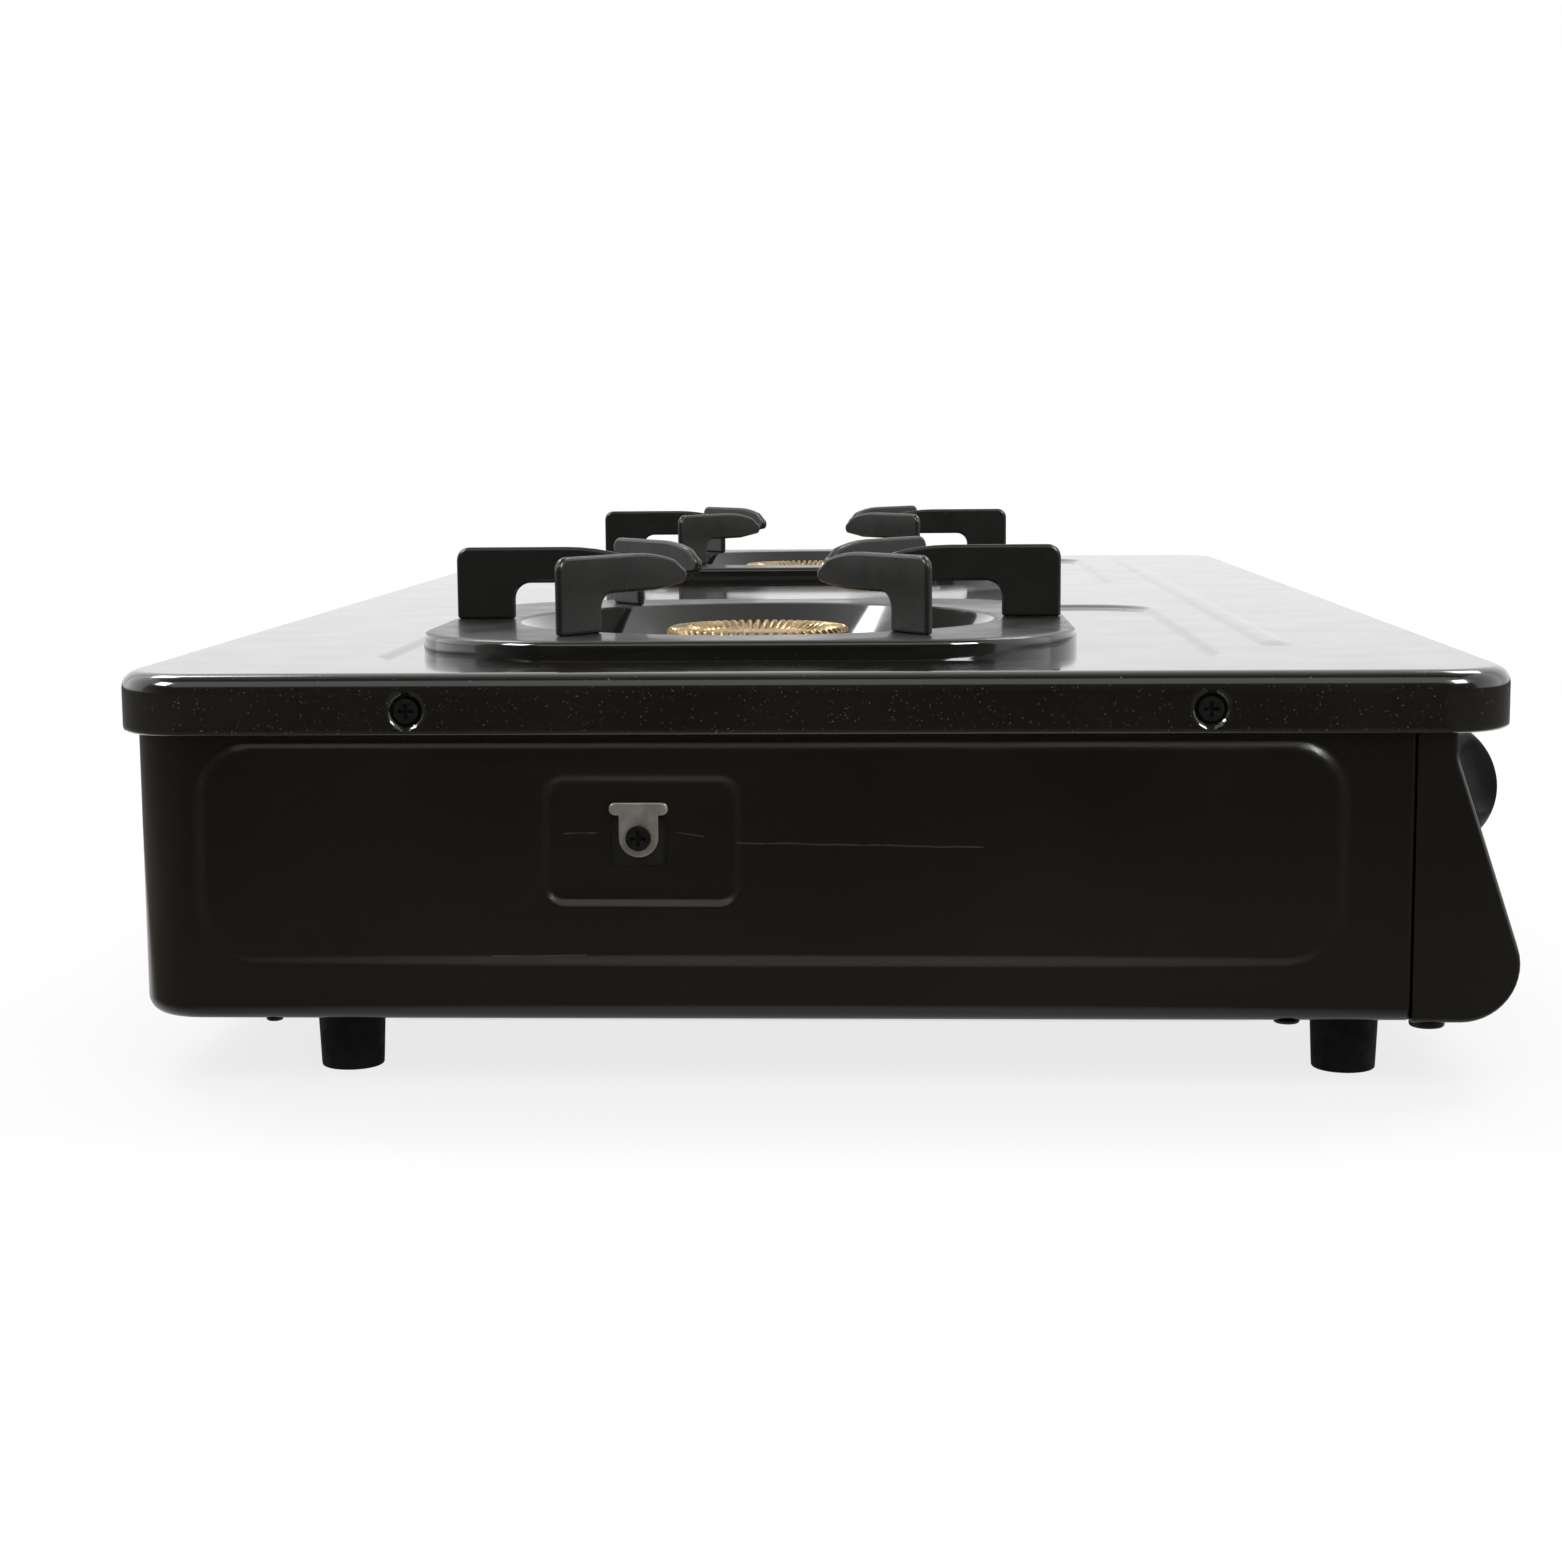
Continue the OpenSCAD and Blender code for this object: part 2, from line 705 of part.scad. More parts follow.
module burner_bolts() {
    color(BARE_STEEL) in_frame() for (s = [-1, 1]) {
        translate([s * burner_x, burner_y, col_z - arm_t]) rotate([180, 0, 0])
            screw(2 * bolt_r, 3, bolt_r, bolt_l);
    }
}

// Pan support's plate: a turned-down square with a bowl let into it
module pan_plate(s) {
    color(ENAMEL) in_frame() translate([s * burner_x, burner_y, 0]) {
        difference() {
            turned_lid(pan_half, pan_half, pan_r, pan_edge_r, pan_z, well_z);
            translate([0, 0, pan_z - sheet_t - 1]) cylinder(r = bowl_mouth_r, h = sheet_t + 2);
        }
        rotate_extrude() polygon([
            [bowl_mouth_r, pan_z], [bowl_floor_r, bowl_z], [bowl_hole_r, bowl_z],
            [bowl_hole_r, bowl_z - sheet_t], [bowl_floor_r, bowl_z - bowl_drop],
            [bowl_mouth_r, pan_z - bowl_drop]
        ]);
    }
}

// Outline of a finger: x is the distance from the burner's middle, y the height over the plate
module finger_outline() {
    corner = 4;
    inside = 5;
    nose = arm_tip_h / 2;
    leg_in = finger_out_r - leg_w;
    arm_y = finger_h - arm_h;
    tip_drop = 5;
    slope_l = 24;
    nose_top = finger_h - tip_drop;
    polygon(concat(
        [[leg_in, 0], [finger_out_r, 0]],
        arc([finger_out_r - corner, finger_h - corner], corner, 0, 90),
        [[finger_tip_r + slope_l, finger_h], [finger_tip_r + slope_l * 0.55, finger_h - tip_drop * 0.22]],
        arc([finger_tip_r + nose, nose_top - nose], nose, 100, 260),
        [[finger_tip_r + slope_l * 0.6, arm_y]],
        arc([leg_in - inside, arm_y - inside], inside, 90, 0)
    ));
}

module pan_fingers(s) {
    color(ENAMEL) in_frame() translate([s * burner_x, burner_y, pan_z]) {
        for (a = [finger_spread, 90, 180 - finger_spread], side = [0, 180]) {
            rotate(a + side) translate([0, finger_t / 2, 0])
                rotate([90, 0, 0]) linear_extrude(finger_t) finger_outline();
        }
    }
}

// Cast burner: column and bowl, with the mixing tube running forward to its air bell
module burner_body(s) {
    cone_z = mix_z + mix_r + 3;
    lip_z = cap_z - head_lip_h;
    lug_z = lip_z - lug_h - 1;
    lug_half = electrode_r + 2;
    bore_r = mix_r - cast_wall * 0.7;
    chamber_z = mix_z - bore_r - 1;
    col_in = col_r - cast_wall;
    head_in = head_r - cast_wall;
    tube_l = burner_y - bell_y;
    bell_at = tube_l - bell_l;
    bell_wall = 2.5;
    color(CAST) in_frame() translate([s * burner_x, burner_y, 0]) difference() {
        union() {
            rotate_extrude() polygon([
                [0, col_z], [col_r, col_z], [col_r, cone_z], [head_r, lip_z], [head_r, cap_z], [0, cap_z]
            ]);
            forward(0, bell_at + 1) circle(mix_r);
            forward(bell_at, tube_l) circle(bell_r);
            forward(bell_at, tube_l - shutter_l - 1.5) circle(bell_r + shutter_t);
            translate([-lug_half, -electrode_at - lug_half, lug_z])
                cube([2 * lug_half, electrode_at - col_r + 8, lug_h]);
        }
        rotate_extrude() polygon([
            [0, chamber_z], [col_in, chamber_z], [col_in, cone_z], [head_in, lip_z],
            [head_in, cap_z + 1], [0, cap_z + 1]
        ]);
        forward(0, bell_at + bell_wall + 1) circle(bore_r);
        forward(bell_at + bell_wall, tube_l - bell_wall) circle(bell_r - bell_wall);
        forward(tube_l - bell_wall - 1, tube_l + 1) circle(5);
        air_ports(1.5 + shutter_l / 2 - tube_l);
        translate([0, -electrode_at, lug_z - 1]) cylinder(r = electrode_r + slip, h = lug_h + 2);
        translate([0, 0, col_z - 1]) cylinder(r = bolt_r + slip, h = bolt_l);
    }
}

// Extrudes an outline round the mixing tube's line, from a to b in front of the burner's middle
module forward(a, b) {
    translate([0, -a, mix_z]) rotate([90, 0, 0]) linear_extrude(b - a) children();
}

// Pair of air ports through the sides of the bell, round y
module air_ports(y) {
    port_l = shutter_l - 4;
    translate([-bell_r - 3, y - port_l / 2, mix_z - port_l / 2])
        cube([2 * bell_r + 6, port_l, port_l]);
}

module air_shutter(s) {
    tube_l = burner_y - bell_y;
    lever_w = 5;
    lever_l = 6;
    color(BARE_STEEL) in_frame() translate([s * burner_x, burner_y, 0]) difference() {
        union() {
            translate([0, 1 + shutter_l - tube_l, mix_z]) rotate([90, 0, 0])
                cylinder(r = bell_r + shutter_t, h = shutter_l);
            translate([-lever_w / 2, 1 - tube_l, mix_z - bell_r - lever_l])
                cube([lever_w, shutter_t, lever_l]);
        }
        translate([0, 2 + shutter_l - tube_l, mix_z]) rotate([90, 0, 0])
            cylinder(r = bell_r + run_gap, h = shutter_l + 2);
        air_ports(1 + shutter_l / 2 - tube_l);
    }
}

// Brass cap with slanting flame slots and an open middle
module burner_cap(s) {
    hole_r = 9;
    slot_w = 1.9;
    slot_d = 2.2;
    slot_h = cap_h - 3;
    slant = 24;
    color(BRASS) in_frame() translate([s * burner_x, burner_y, cap_z]) difference() {
        union() {
            rotate_extrude() polygon(concat(
                [[hole_r, 0], [cap_r, 0]],
                arc([cap_r - 2, cap_h - 2], 2, 0, 90, 6),
                [[cap_r - 9, cap_h], [hole_r + 2, cap_h - 2.5], [hole_r, cap_h - 3.5]]
            ));
            translate([0, 0, -3]) cylinder(r = head_r - cast_wall - slip, h = 3.01);
        }
        translate([0, 0, -4]) cylinder(r = hole_r, h = cap_h + 5);
        translate([0, 0, -4]) cylinder(r = head_r - cast_wall - 3, h = cap_h - 1.5);
        for (i = [0 : cap_slots - 1]) {
            rotate(i * 360 / cap_slots) translate([cap_r - slot_d, 0, cap_h - slot_h / 2])
                rotate([slant, 0, 0]) translate([0, -slot_w / 2, -slot_h / 2])
                cube([slot_d + 2, slot_w, slot_h + 3]);
        }
    }
}

module electrode(s) {
    color(CERAMIC) in_frame()
        translate([s * burner_x, burner_y - electrode_at, electrode_top - electrode_l]) {
            cylinder(r = electrode_r, h = electrode_l - 5);
            cylinder(r = 0.6, h = electrode_l);
        }
}

module injector(s) {
    color(BRASS) in_frame() translate([s * burner_x, injector_y, mix_z]) rotate([-90, 0, 0])
        difference() {
            union() {
                translate([0, 0, -8]) cylinder(r = outlet_bore_r - slip / 2, h = 8);
                cylinder(r = 6, h = injector_hex_l, $fn = 6);
                translate([0, 0, injector_hex_l]) cylinder(r1 = 3.4, r2 = 2, h = injector_tip_l - 3);
            }
            translate([0, 0, -9]) cylinder(r = 1.2, h = 14 + injector_hex_l);
            translate([0, 0, -9]) cylinder(r = 0.5, h = 10 + injector_hex_l + injector_tip_l);
        }
}

module tap_body(s) {
    color(BRASS) in_frame() difference() {
        union() {
            on_panel(s) translate([0, 0, -tap_at - tap_l]) cylinder(r = tap_r, h = tap_l);
            on_panel(s) translate([0, 0, -rail_at]) rotate([90, 0, 0]) cylinder(r = 7, h = rail_drop);
            translate([s * burner_x, outlet_y, mix_z]) rotate([-90, 0, 0])
                cylinder(r = outlet_r, h = outlet_l);
            translate([s * burner_x - saddle_l / 2, rail_y, rail_z]) rotate([0, 90, 0])
                cylinder(r = rail_r + saddle_wall, h = saddle_l);
        }
        on_panel(s) translate([0, 0, -spindle_in - push_travel - 2])
            cylinder(r = spindle_r + run_gap, h = spindle_in);
        translate([s * burner_x, injector_y - outlet_bore_l, mix_z]) rotate([-90, 0, 0])
            cylinder(r = outlet_bore_r, h = outlet_bore_l + 1);
        translate([s * burner_x - saddle_l, rail_y, rail_z]) rotate([0, 90, 0])
            cylinder(r = rail_r + slip, h = 2 * saddle_l);
    }
}

// Piezo spark unit beside a tap
module igniter(s) {
    w = 13;
    h = 16;
    l = 20;
    color(BLACK_PLASTIC) in_frame() on_panel(s) {
        translate([tap_r + slip, -h / 2, -tap_at - l - 3]) cube([w, h, l]);
        translate([tap_r + slip + w / 2, 0, -tap_at - l - 7]) cylinder(r = 3, h = 5);
    }
}

module return_spring(s) {
    color(BARE_STEEL) in_frame() on_panel(s) translate([0, 0, -tap_at]) difference() {
        cylinder(r = spindle_r + 3, h = spring_l);
        translate([0, 0, -1]) cylinder(r = spindle_r + 1, h = spring_l + 2);
    }
}

module thrust_washer(s) {
    color(BARE_STEEL) in_frame() on_panel(s) translate([0, 0, -spring_at]) difference() {
        cylinder(r = spindle_r + 4, h = washer_t);
        translate([0, 0, -1]) cylinder(r = spindle_r + run_gap, h = washer_t + 2);
    }
}

spindle_out = knob_lift + knob_h - 6;

module spindle(s) {
    color(BARE_STEEL) in_frame() on_panel(s) {
        translate([0, 0, -spindle_in]) cylinder(r = spindle_r, h = spindle_in + spindle_out);
        translate([0, 0, -washer_at]) cylinder(r = spindle_r + 2, h = collar_t);
    }
}

module bezel(s) {
    color(BARE_STEEL) in_frame() on_panel(s) translate([0, 0, ring_gap]) difference() {
        cylinder(r1 = bezel_r, r2 = bezel_r - bezel_t, h = bezel_t);
        translate([0, 0, -1]) cylinder(r = spindle_r + 3, h = bezel_t + 2);
    }
}

// Knob with a rounded edge and a grip bar left between two finger scoops
module knob(s) {
    scoop_r = 15;
    bar_half = 4.5;
    hub_r = spindle_r + 4;
    color(BLACK_PLASTIC) in_frame() on_panel(s) translate([0, 0, knob_lift]) difference() {
        rotate_extrude() polygon(concat(
            [[0, 0], [knob_r - 1, 0], [knob_r, 1]],
            arc([knob_r - knob_round, knob_h - knob_round], knob_round, 0, 90),
            [[0, knob_h]]
        ));
        translate([0, 0, -1]) cylinder(r = spindle_r + run_gap, h = spindle_out - knob_lift + 1);
        difference() {
            translate([0, 0, -1]) cylinder(r = knob_r - 3, h = knob_h * 0.4 + 1);
            translate([0, 0, -2]) cylinder(r = hub_r, h = knob_h);
        }
        for (m = [-1, 1]) {
            translate([m * (bar_half + scoop_r), knob_r * 0.55, knob_h + 5]) rotate([90, 0, 0])
                cylinder(r = scoop_r, h = knob_r * 1.1);
        }
    }
}

module gas_rail() {
    end_x = burner_x + 22;
    supply_end = back_y - nozzle_in + nozzle_socket;
    color(BARE_STEEL) in_frame() difference() {
        union() {
            translate([-end_x, rail_y, rail_z]) rotate([0, 90, 0]) cylinder(r = rail_r, h = 2 * end_x);
            translate([inlet_x, rail_y, rail_z]) rotate([-90, 0, 0])
                cylinder(r = supply_r, h = supply_end - rail_y);
        }
        translate([4 - end_x, rail_y, rail_z]) rotate([0, 90, 0])
            cylinder(r = rail_r - pipe_wall, h = 2 * end_x - 8);
        translate([inlet_x, rail_y, rail_z]) rotate([-90, 0, 0])
            cylinder(r = supply_r - pipe_wall, h = supply_end - rail_y + 1);
    }
}

// Posts that carry the rail on the base
module rail_posts() {
    post_w = 14;
    post_half = rail_r + 3;
    post_z = floor_z + sheet_t;
    color(BARE_STEEL) in_frame() for (s = [-1, 1]) {
        difference() {
            translate([s * burner_x * 0.6 - post_w / 2, rail_y - post_half, post_z])
                cube([post_w, 2 * post_half, rail_z - post_z]);
            translate([s * burner_x * 0.6 - post_w, rail_y, rail_z]) rotate([0, 90, 0])
                cylinder(r = rail_r + slip, h = 2 * post_w);
        }
    }
}

module hose_nozzle() {
    color(BRASS) in_frame() translate([inlet_x, back_y, rail_z]) rotate([-90, 0, 0]) difference() {
        union() {
            translate([0, 0, -nozzle_in]) cylinder(r = nozzle_r, h = nozzle_in);
            cylinder(r = nozzle_flange_r, h = nozzle_flange_t);
            translate([0, 0, nozzle_flange_t]) cylinder(r = spigot_r, h = spigot_l);
            translate([0, 0, nozzle_flange_t + spigot_l])
                cylinder(r1 = spigot_r, r2 = spigot_r - 0.6, h = tip_l);
        }
        translate([0, 0, -nozzle_in - 1]) cylinder(r = supply_r + slip, h = nozzle_socket + 1);
        translate([0, 0, -nozzle_in - 1])
            cylinder(r = spigot_r - 1.6, h = nozzle_in + nozzle_flange_t + spigot_l + tip_l + 2);
    }
}

module inlet_nut() {
    nut_h = 5;
    color(BRASS) in_frame() translate([inlet_x, back_y - sheet_t, rail_z]) rotate([90, 0, 0])
        difference() {
            cylinder(r = nozzle_flange_r, h = nut_h, $fn = 6);
            translate([0, 0, -1]) cylinder(r = nozzle_r + slip / 2, h = nut_h + 2);
        }
}

top_plate();
left_side_panel();
right_side_panel();
back_panel();
base_pan();
front_panel();
foot(-1, foot_front_y);  // front_left_foot
foot(1, foot_front_y);  // front_right_foot
foot(-1, foot_rear_y);  // rear_left_foot
foot(1, foot_rear_y);  // rear_right_foot
foot_screws();
rim_screws();
tab_screws();
back_screws();
panel_screws();
burner_bolts();
left_clip_plate();
right_clip_plate();
left_burner_bracket();
right_burner_bracket();
pan_plate(-1);  // left_pan_plate
pan_plate(1);  // right_pan_plate
pan_fingers(-1);  // left_pan_fingers
pan_fingers(1);  // right_pan_fingers
burner_body(-1);  // left_burner_body
burner_body(1);  // right_burner_body
burner_cap(-1);  // left_burner_cap
burner_cap(1);  // right_burner_cap
electrode(-1);  // left_electrode
electrode(1);  // right_electrode
air_shutter(-1);  // left_air_shutter
air_shutter(1);  // right_air_shutter
injector(-1);  // left_injector
injector(1);  // right_injector
tap_body(-1);  // left_tap_body
tap_body(1);  // right_tap_body
igniter(-1);  // left_igniter
igniter(1);  // right_igniter
return_spring(-1);  // left_return_spring
return_spring(1);  // right_return_spring
thrust_washer(-1);  // left_thrust_washer
thrust_washer(1);  // right_thrust_washer
spindle(-1);  // left_spindle
spindle(1);  // right_spindle
bezel(-1);  // left_bezel
bezel(1);  // right_bezel
knob(-1);  // left_knob
knob(1);  // right_knob
gas_rail();
rail_posts();
hose_nozzle();
inlet_nut();
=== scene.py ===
"""Looks of a two-burner table-top gas stove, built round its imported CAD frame."""

import logging
import math
from dataclasses import dataclass
from enum import Enum
from typing import Any, Callable, ClassVar, Iterable, Optional, Sequence, Union

import bmesh
import bpy
from mathutils import Matrix, Vector
from mathutils.geometry import delaunay_2d_cdt


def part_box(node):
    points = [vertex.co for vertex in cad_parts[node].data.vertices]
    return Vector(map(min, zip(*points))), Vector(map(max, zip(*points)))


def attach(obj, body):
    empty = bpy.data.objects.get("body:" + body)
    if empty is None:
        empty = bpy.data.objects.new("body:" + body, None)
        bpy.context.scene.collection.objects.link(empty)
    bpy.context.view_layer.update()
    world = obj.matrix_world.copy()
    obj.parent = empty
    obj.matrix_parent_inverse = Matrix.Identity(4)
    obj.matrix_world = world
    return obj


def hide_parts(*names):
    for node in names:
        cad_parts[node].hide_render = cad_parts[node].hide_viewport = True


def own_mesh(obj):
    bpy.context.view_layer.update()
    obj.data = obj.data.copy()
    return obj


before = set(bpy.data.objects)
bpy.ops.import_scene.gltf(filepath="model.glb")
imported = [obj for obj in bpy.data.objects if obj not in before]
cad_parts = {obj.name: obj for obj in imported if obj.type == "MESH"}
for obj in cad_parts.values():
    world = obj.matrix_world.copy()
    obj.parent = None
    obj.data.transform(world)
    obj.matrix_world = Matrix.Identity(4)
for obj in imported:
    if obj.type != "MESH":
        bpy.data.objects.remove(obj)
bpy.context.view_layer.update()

LOG = logging.getLogger("stove")
MM = 0.001
# Points nearer than this are one: in metres in a mesh, in millimetres in a flat sheet
MERGE, FLAT_MERGE = 2e-6, 1e-4
# Soft edges: rows of faces in a rounding, and the least angle of an edge that gets one
SOFT_STEPS, SOFT_ANGLE = 3, 35.0
# Shares of a pressing's slope where its rows of points lie
SLOPE_STEPS = (0.0, 0.2, 0.4, 0.6, 0.8, 1.0)
PLATE_LOW, PLATE_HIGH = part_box("top_plate")
PLATE_Y = (PLATE_LOW.y + PLATE_HIGH.y) / 2 / MM

Flat = tuple[float, float]
Solid = tuple[float, float, float]
Colour = tuple[float, float, float]
EVEN: Solid = (1.0, 1.0, 1.0)

# Main sizes, in millimetres from the table under the plate's middle
SHEET = 1.2
HALF_X, HALF_Y = 350.0, 190.0
CORNER, OVERHANG = 22.0, 4.3
BASE, RIM, TOP = 18.0, 97.0, 113.8
WELL = TOP - 1.2
FACE_X = HALF_X - OVERHANG
SEAM_Y = -162.4
BURNER = (212.0, 20.0)
PAN_HALF = 98.0
TAB_Y, TAB_Z = 45.5, 69.0
TILT = 18.2
NECK = (-173.6, 90.6)
KNOB_Z = 62.0
KNOB_Y = NECK[0] - (NECK[1] - KNOB_Z) * math.tan(math.radians(TILT))


class Side(Enum):
    """The two ends of the stove, with the sign of X at each."""

    LEFT = -1
    RIGHT = 1

    @property
    def label(self) -> str:
        """The word that starts the names of this end's pieces."""
        return self.name.lower()


class Body(Enum):
    """Bodies of the frame that new pieces ride on."""

    STOVE = "stove"
    LEFT_KNOB = "left_knob"
    RIGHT_KNOB = "right_knob"


def eased(t: float) -> float:
    """Smooth step from 0 to 1 as t runs from 0 to 1."""
    t = min(max(t, 0.0), 1.0)
    return t * t * (3 - 2 * t)


def spread(start: float, end: float, count: int) -> list[float]:
    """Evenly spaced values strictly between two ends, in order."""
    return [start + (end - start) * (i + 1) / (count + 1) for i in range(count)]


def arc(centre: Flat, radius: float, first: float, last: float, steps: int) -> list[Flat]:
    """Points of an arc in chords, both ends included, from one direction to another in degrees."""
    angles = [math.radians(first + (last - first) * i / steps) for i in range(steps + 1)]
    return [(centre[0] + radius * math.cos(a), centre[1] + radius * math.sin(a)) for a in angles]


def circle(count: int) -> list[float]:
    """Directions evenly round a full turn, in radians."""
    return [2 * math.pi * i / count for i in range(count)]


def metres(point: Iterable[float]) -> Solid:
    """A point of the frame in metres, from millimetres under the plate's middle."""
    x, y, z = point
    return x * MM, (y + PLATE_Y) * MM, z * MM


class Wire:
    """A shader socket that takes part in Python expressions on values."""

    def __init__(self, graph: "Graph", socket: bpy.types.NodeSocket) -> None:
        """Keeps the graph that the socket belongs to."""
        self.graph = graph
        self.socket = socket

    def beside(self, output: str) -> "Wire":
        """Another output of the same node."""
        return Wire(self.graph, self.socket.node.outputs[output])

    def math(self, operation: str, *values: Any) -> "Wire":
        """Result of a Math node on this value and further wires or numbers."""
        sockets = dict(enumerate((self, *values)))
        return self.graph.add("ShaderNodeMath", {"operation": operation}, sockets)

    def __add__(self, other: Any) -> "Wire":
        """Sum."""
        return self.math("ADD", other)

    __radd__ = __add__

    def __sub__(self, other: Any) -> "Wire":
        """Difference."""
        return self.math("SUBTRACT", other)

    def __rsub__(self, other: Any) -> "Wire":
        """Difference from a number."""
        return (self * -1.0) + other

    def __mul__(self, other: Any) -> "Wire":
        """Product."""
        return self.math("MULTIPLY", other)

    __rmul__ = __mul__

    def over(self, limit: float) -> "Wire":
        """One where the value is over a limit, and zero elsewhere."""
        return self.math("GREATER_THAN", limit)

    def under(self, limit: float) -> "Wire":
        """One where the value is under a limit, and zero elsewhere."""
        return self.math("LESS_THAN", limit)

    def fade(self, low: float, high: float) -> "Wire":
        """Smooth step between two values.

        Args:
            low: Value that gives 0.
            high: Value that gives 1.

        Returns:
            The step.
        """
        settings = {"interpolation_type": "SMOOTHSTEP"}
        sockets = {"Value": self, "From Min": low, "From Max": high}
        return self.graph.add("ShaderNodeMapRange", settings, sockets)

    def between(self, low: float, high: float) -> "Wire":
        """Stretches a value of 0 to 1 to the range from low to high."""
        return self * (high - low) + low


class Graph:
    """Node tree of a material or a world."""

    COLOUR_SOCKETS = {"A": 6, "B": 7}

    def __init__(self, tree: bpy.types.NodeTree) -> None:
        """Starts from an empty tree."""
        self.tree = tree
        tree.nodes.clear()

    def add(
        self,
        kind: str,
        settings: Optional[dict[str, Any]] = None,
        sockets: Optional[dict[Any, Any]] = None,
        output: Union[int, str] = 0,
    ) -> Wire:
        """Adds one node.

        Args:
            kind: Type of the node.
            settings: Values set on the node first.
            sockets: Values or wires of its inputs, by name or place.
            output: Which output is wanted.

        Returns:
            That output.
        """
        node = self.tree.nodes.new(kind)
        for key, value in (settings or {}).items():
            setattr(node, key, value)
        for key, value in (sockets or {}).items():
            if isinstance(value, Wire):
                self.tree.links.new(value.socket, node.inputs[key])
            else:
                node.inputs[key].default_value = value
        return Wire(self, node.outputs[output] if len(node.outputs) else None)

    def mix(self, factor: Wire, first: Any, second: Any) -> Wire:
        """Mixes two colours.

        Args:
            factor: Share of the second.
            first: A colour or a wire.
            second: A colour or a wire.

        Returns:
            The mixed colour.
        """
        ends = {0: factor}
        for key, value in (("A", first), ("B", second)):
            ends[self.COLOUR_SOCKETS[key]] = value if isinstance(value, Wire) else (*value, 1.0)
        return self.add("ShaderNodeMix", {"data_type": "RGBA"}, ends, 2)

    def place(self) -> Wire:
        """Place in the piece's own frame, in metres."""
        return self.add("ShaderNodeTexCoord", output="Object")

    def noise(self, scale: float, detail: float = 2.0, stretch: Solid = EVEN) -> Wire:
        """Soft noise over the piece.

        Args:
            scale: Waves in a metre.
            detail: Finer layers.
            stretch: Scale along each axis.

        Returns:
            A value of 0 to 1.
        """
        spot = self.place()
        if stretch != EVEN:
            spot = self.add("ShaderNodeMapping", sockets={"Vector": spot, "Scale": stretch})
        sockets = {"Vector": spot, "Scale": scale, "Detail": detail}
        return self.add("ShaderNodeTexNoise", sockets=sockets)

    def specks(self, scale: float, size: float, share: float) -> Wire:
        """Scattered round specks.

        Args:
            scale: Cells in a metre.
            size: Radius of a speck as a share of its cell.
            share: Share of the cells that hold one.

        Returns:
            One in a speck, and zero elsewhere.
        """
        cells = self.add("ShaderNodeTexVoronoi", sockets={"Vector": self.place(), "Scale": scale})
        lot = self.add("ShaderNodeSeparateColor", sockets={"Color": cells.beside("Color")})
        return cells.beside("Distance").under(size) * lot.under(share)

    def bump(self, height: Wire, depth: float) -> Wire:
        """Normal of a relief, from its height as a share and its depth in metres."""
        sockets = {"Height": height, "Distance": depth, "Strength": 1.0}
        return self.add("ShaderNodeBump", sockets=sockets)

    def axes(self, vector: Wire) -> tuple[Wire, ...]:
        """X, Y and Z of a vector."""
        parts = self.add("ShaderNodeSeparateXYZ", sockets={"Vector": vector})
        return tuple(parts.beside(axis) for axis in "XYZ")

    def ray(self, kind: str) -> Wire:
        """One for rays of a kind, and zero for the rest."""
        return self.add("ShaderNodeLightPath", output=kind)

    def surface(self, sockets: dict[str, Any]) -> None:
        """Ends a material in its shader, from the values or wires of the shader's inputs."""
        shader = self.add("ShaderNodeBsdfPrincipled", sockets=sockets)
        self.add("ShaderNodeOutputMaterial", sockets={"Surface": shader})


@dataclass(frozen=True)
class Finish:
    """A coat or bare stuff with two tones, uneven gloss and a fine relief."""

    CLOUD_DETAIL: ClassVar[float] = 3.0
    TONE_FADE: ClassVar[Flat] = (0.35, 0.7)
    GLOSS_FADE: ClassVar[Flat] = (0.3, 0.75)
    GLOSS_SCALE: ClassVar[float] = 1.7

    name: str
    slot: str
    tone: Colour
    second_tone: Colour
    roughness: Flat
    tone_scale: float = 60.0
    grain_scale: float = 900.0
    grain_depth: float = 0.00001
    stretch: Solid = EVEN
    metallic: float = 0.0
    specular: float = 0.5
    coat: float = 0.0
    coat_roughness: float = 0.05

    def colour(self, graph: Graph) -> Wire:
        """Base colour, with the second tone in clouds."""
        clouds = graph.noise(self.tone_scale, self.CLOUD_DETAIL, self.stretch)
        return graph.mix(clouds.fade(*self.TONE_FADE), self.tone, self.second_tone)

    def gloss(self, graph: Graph) -> Wire:
        """Roughness, in clouds a little finer than the tones."""
        clouds = graph.noise(self.tone_scale * self.GLOSS_SCALE, self.CLOUD_DETAIL, self.stretch)
        return clouds.fade(*self.GLOSS_FADE).between(*self.roughness)

    def clear_coat(self, graph: Graph) -> Union[Wire, float]:
        """Weight of the clear coat, the same all over unless a finish varies it."""
        return self.coat

    def make(self) -> bpy.types.Material:
        """Makes the material, or finds it if it is there.

        Returns:
            The material.
        """
        found = bpy.data.materials.get(self.name)
        if found is not None:
            return found
        material = bpy.data.materials.new(self.name)
        material.use_nodes = True
        graph = Graph(material.node_tree)
        grain = graph.noise(self.grain_scale, stretch=self.stretch)
        graph.surface(
            {
                "Base Color": self.colour(graph),
                "Roughness": self.gloss(graph),
                "Metallic": self.metallic,
                "Specular IOR Level": self.specular,
                "Coat Weight": self.clear_coat(graph),
                "Coat Roughness": self.coat_roughness,
                "Normal": graph.bump(grain, self.grain_depth),
            }
        )
        return material


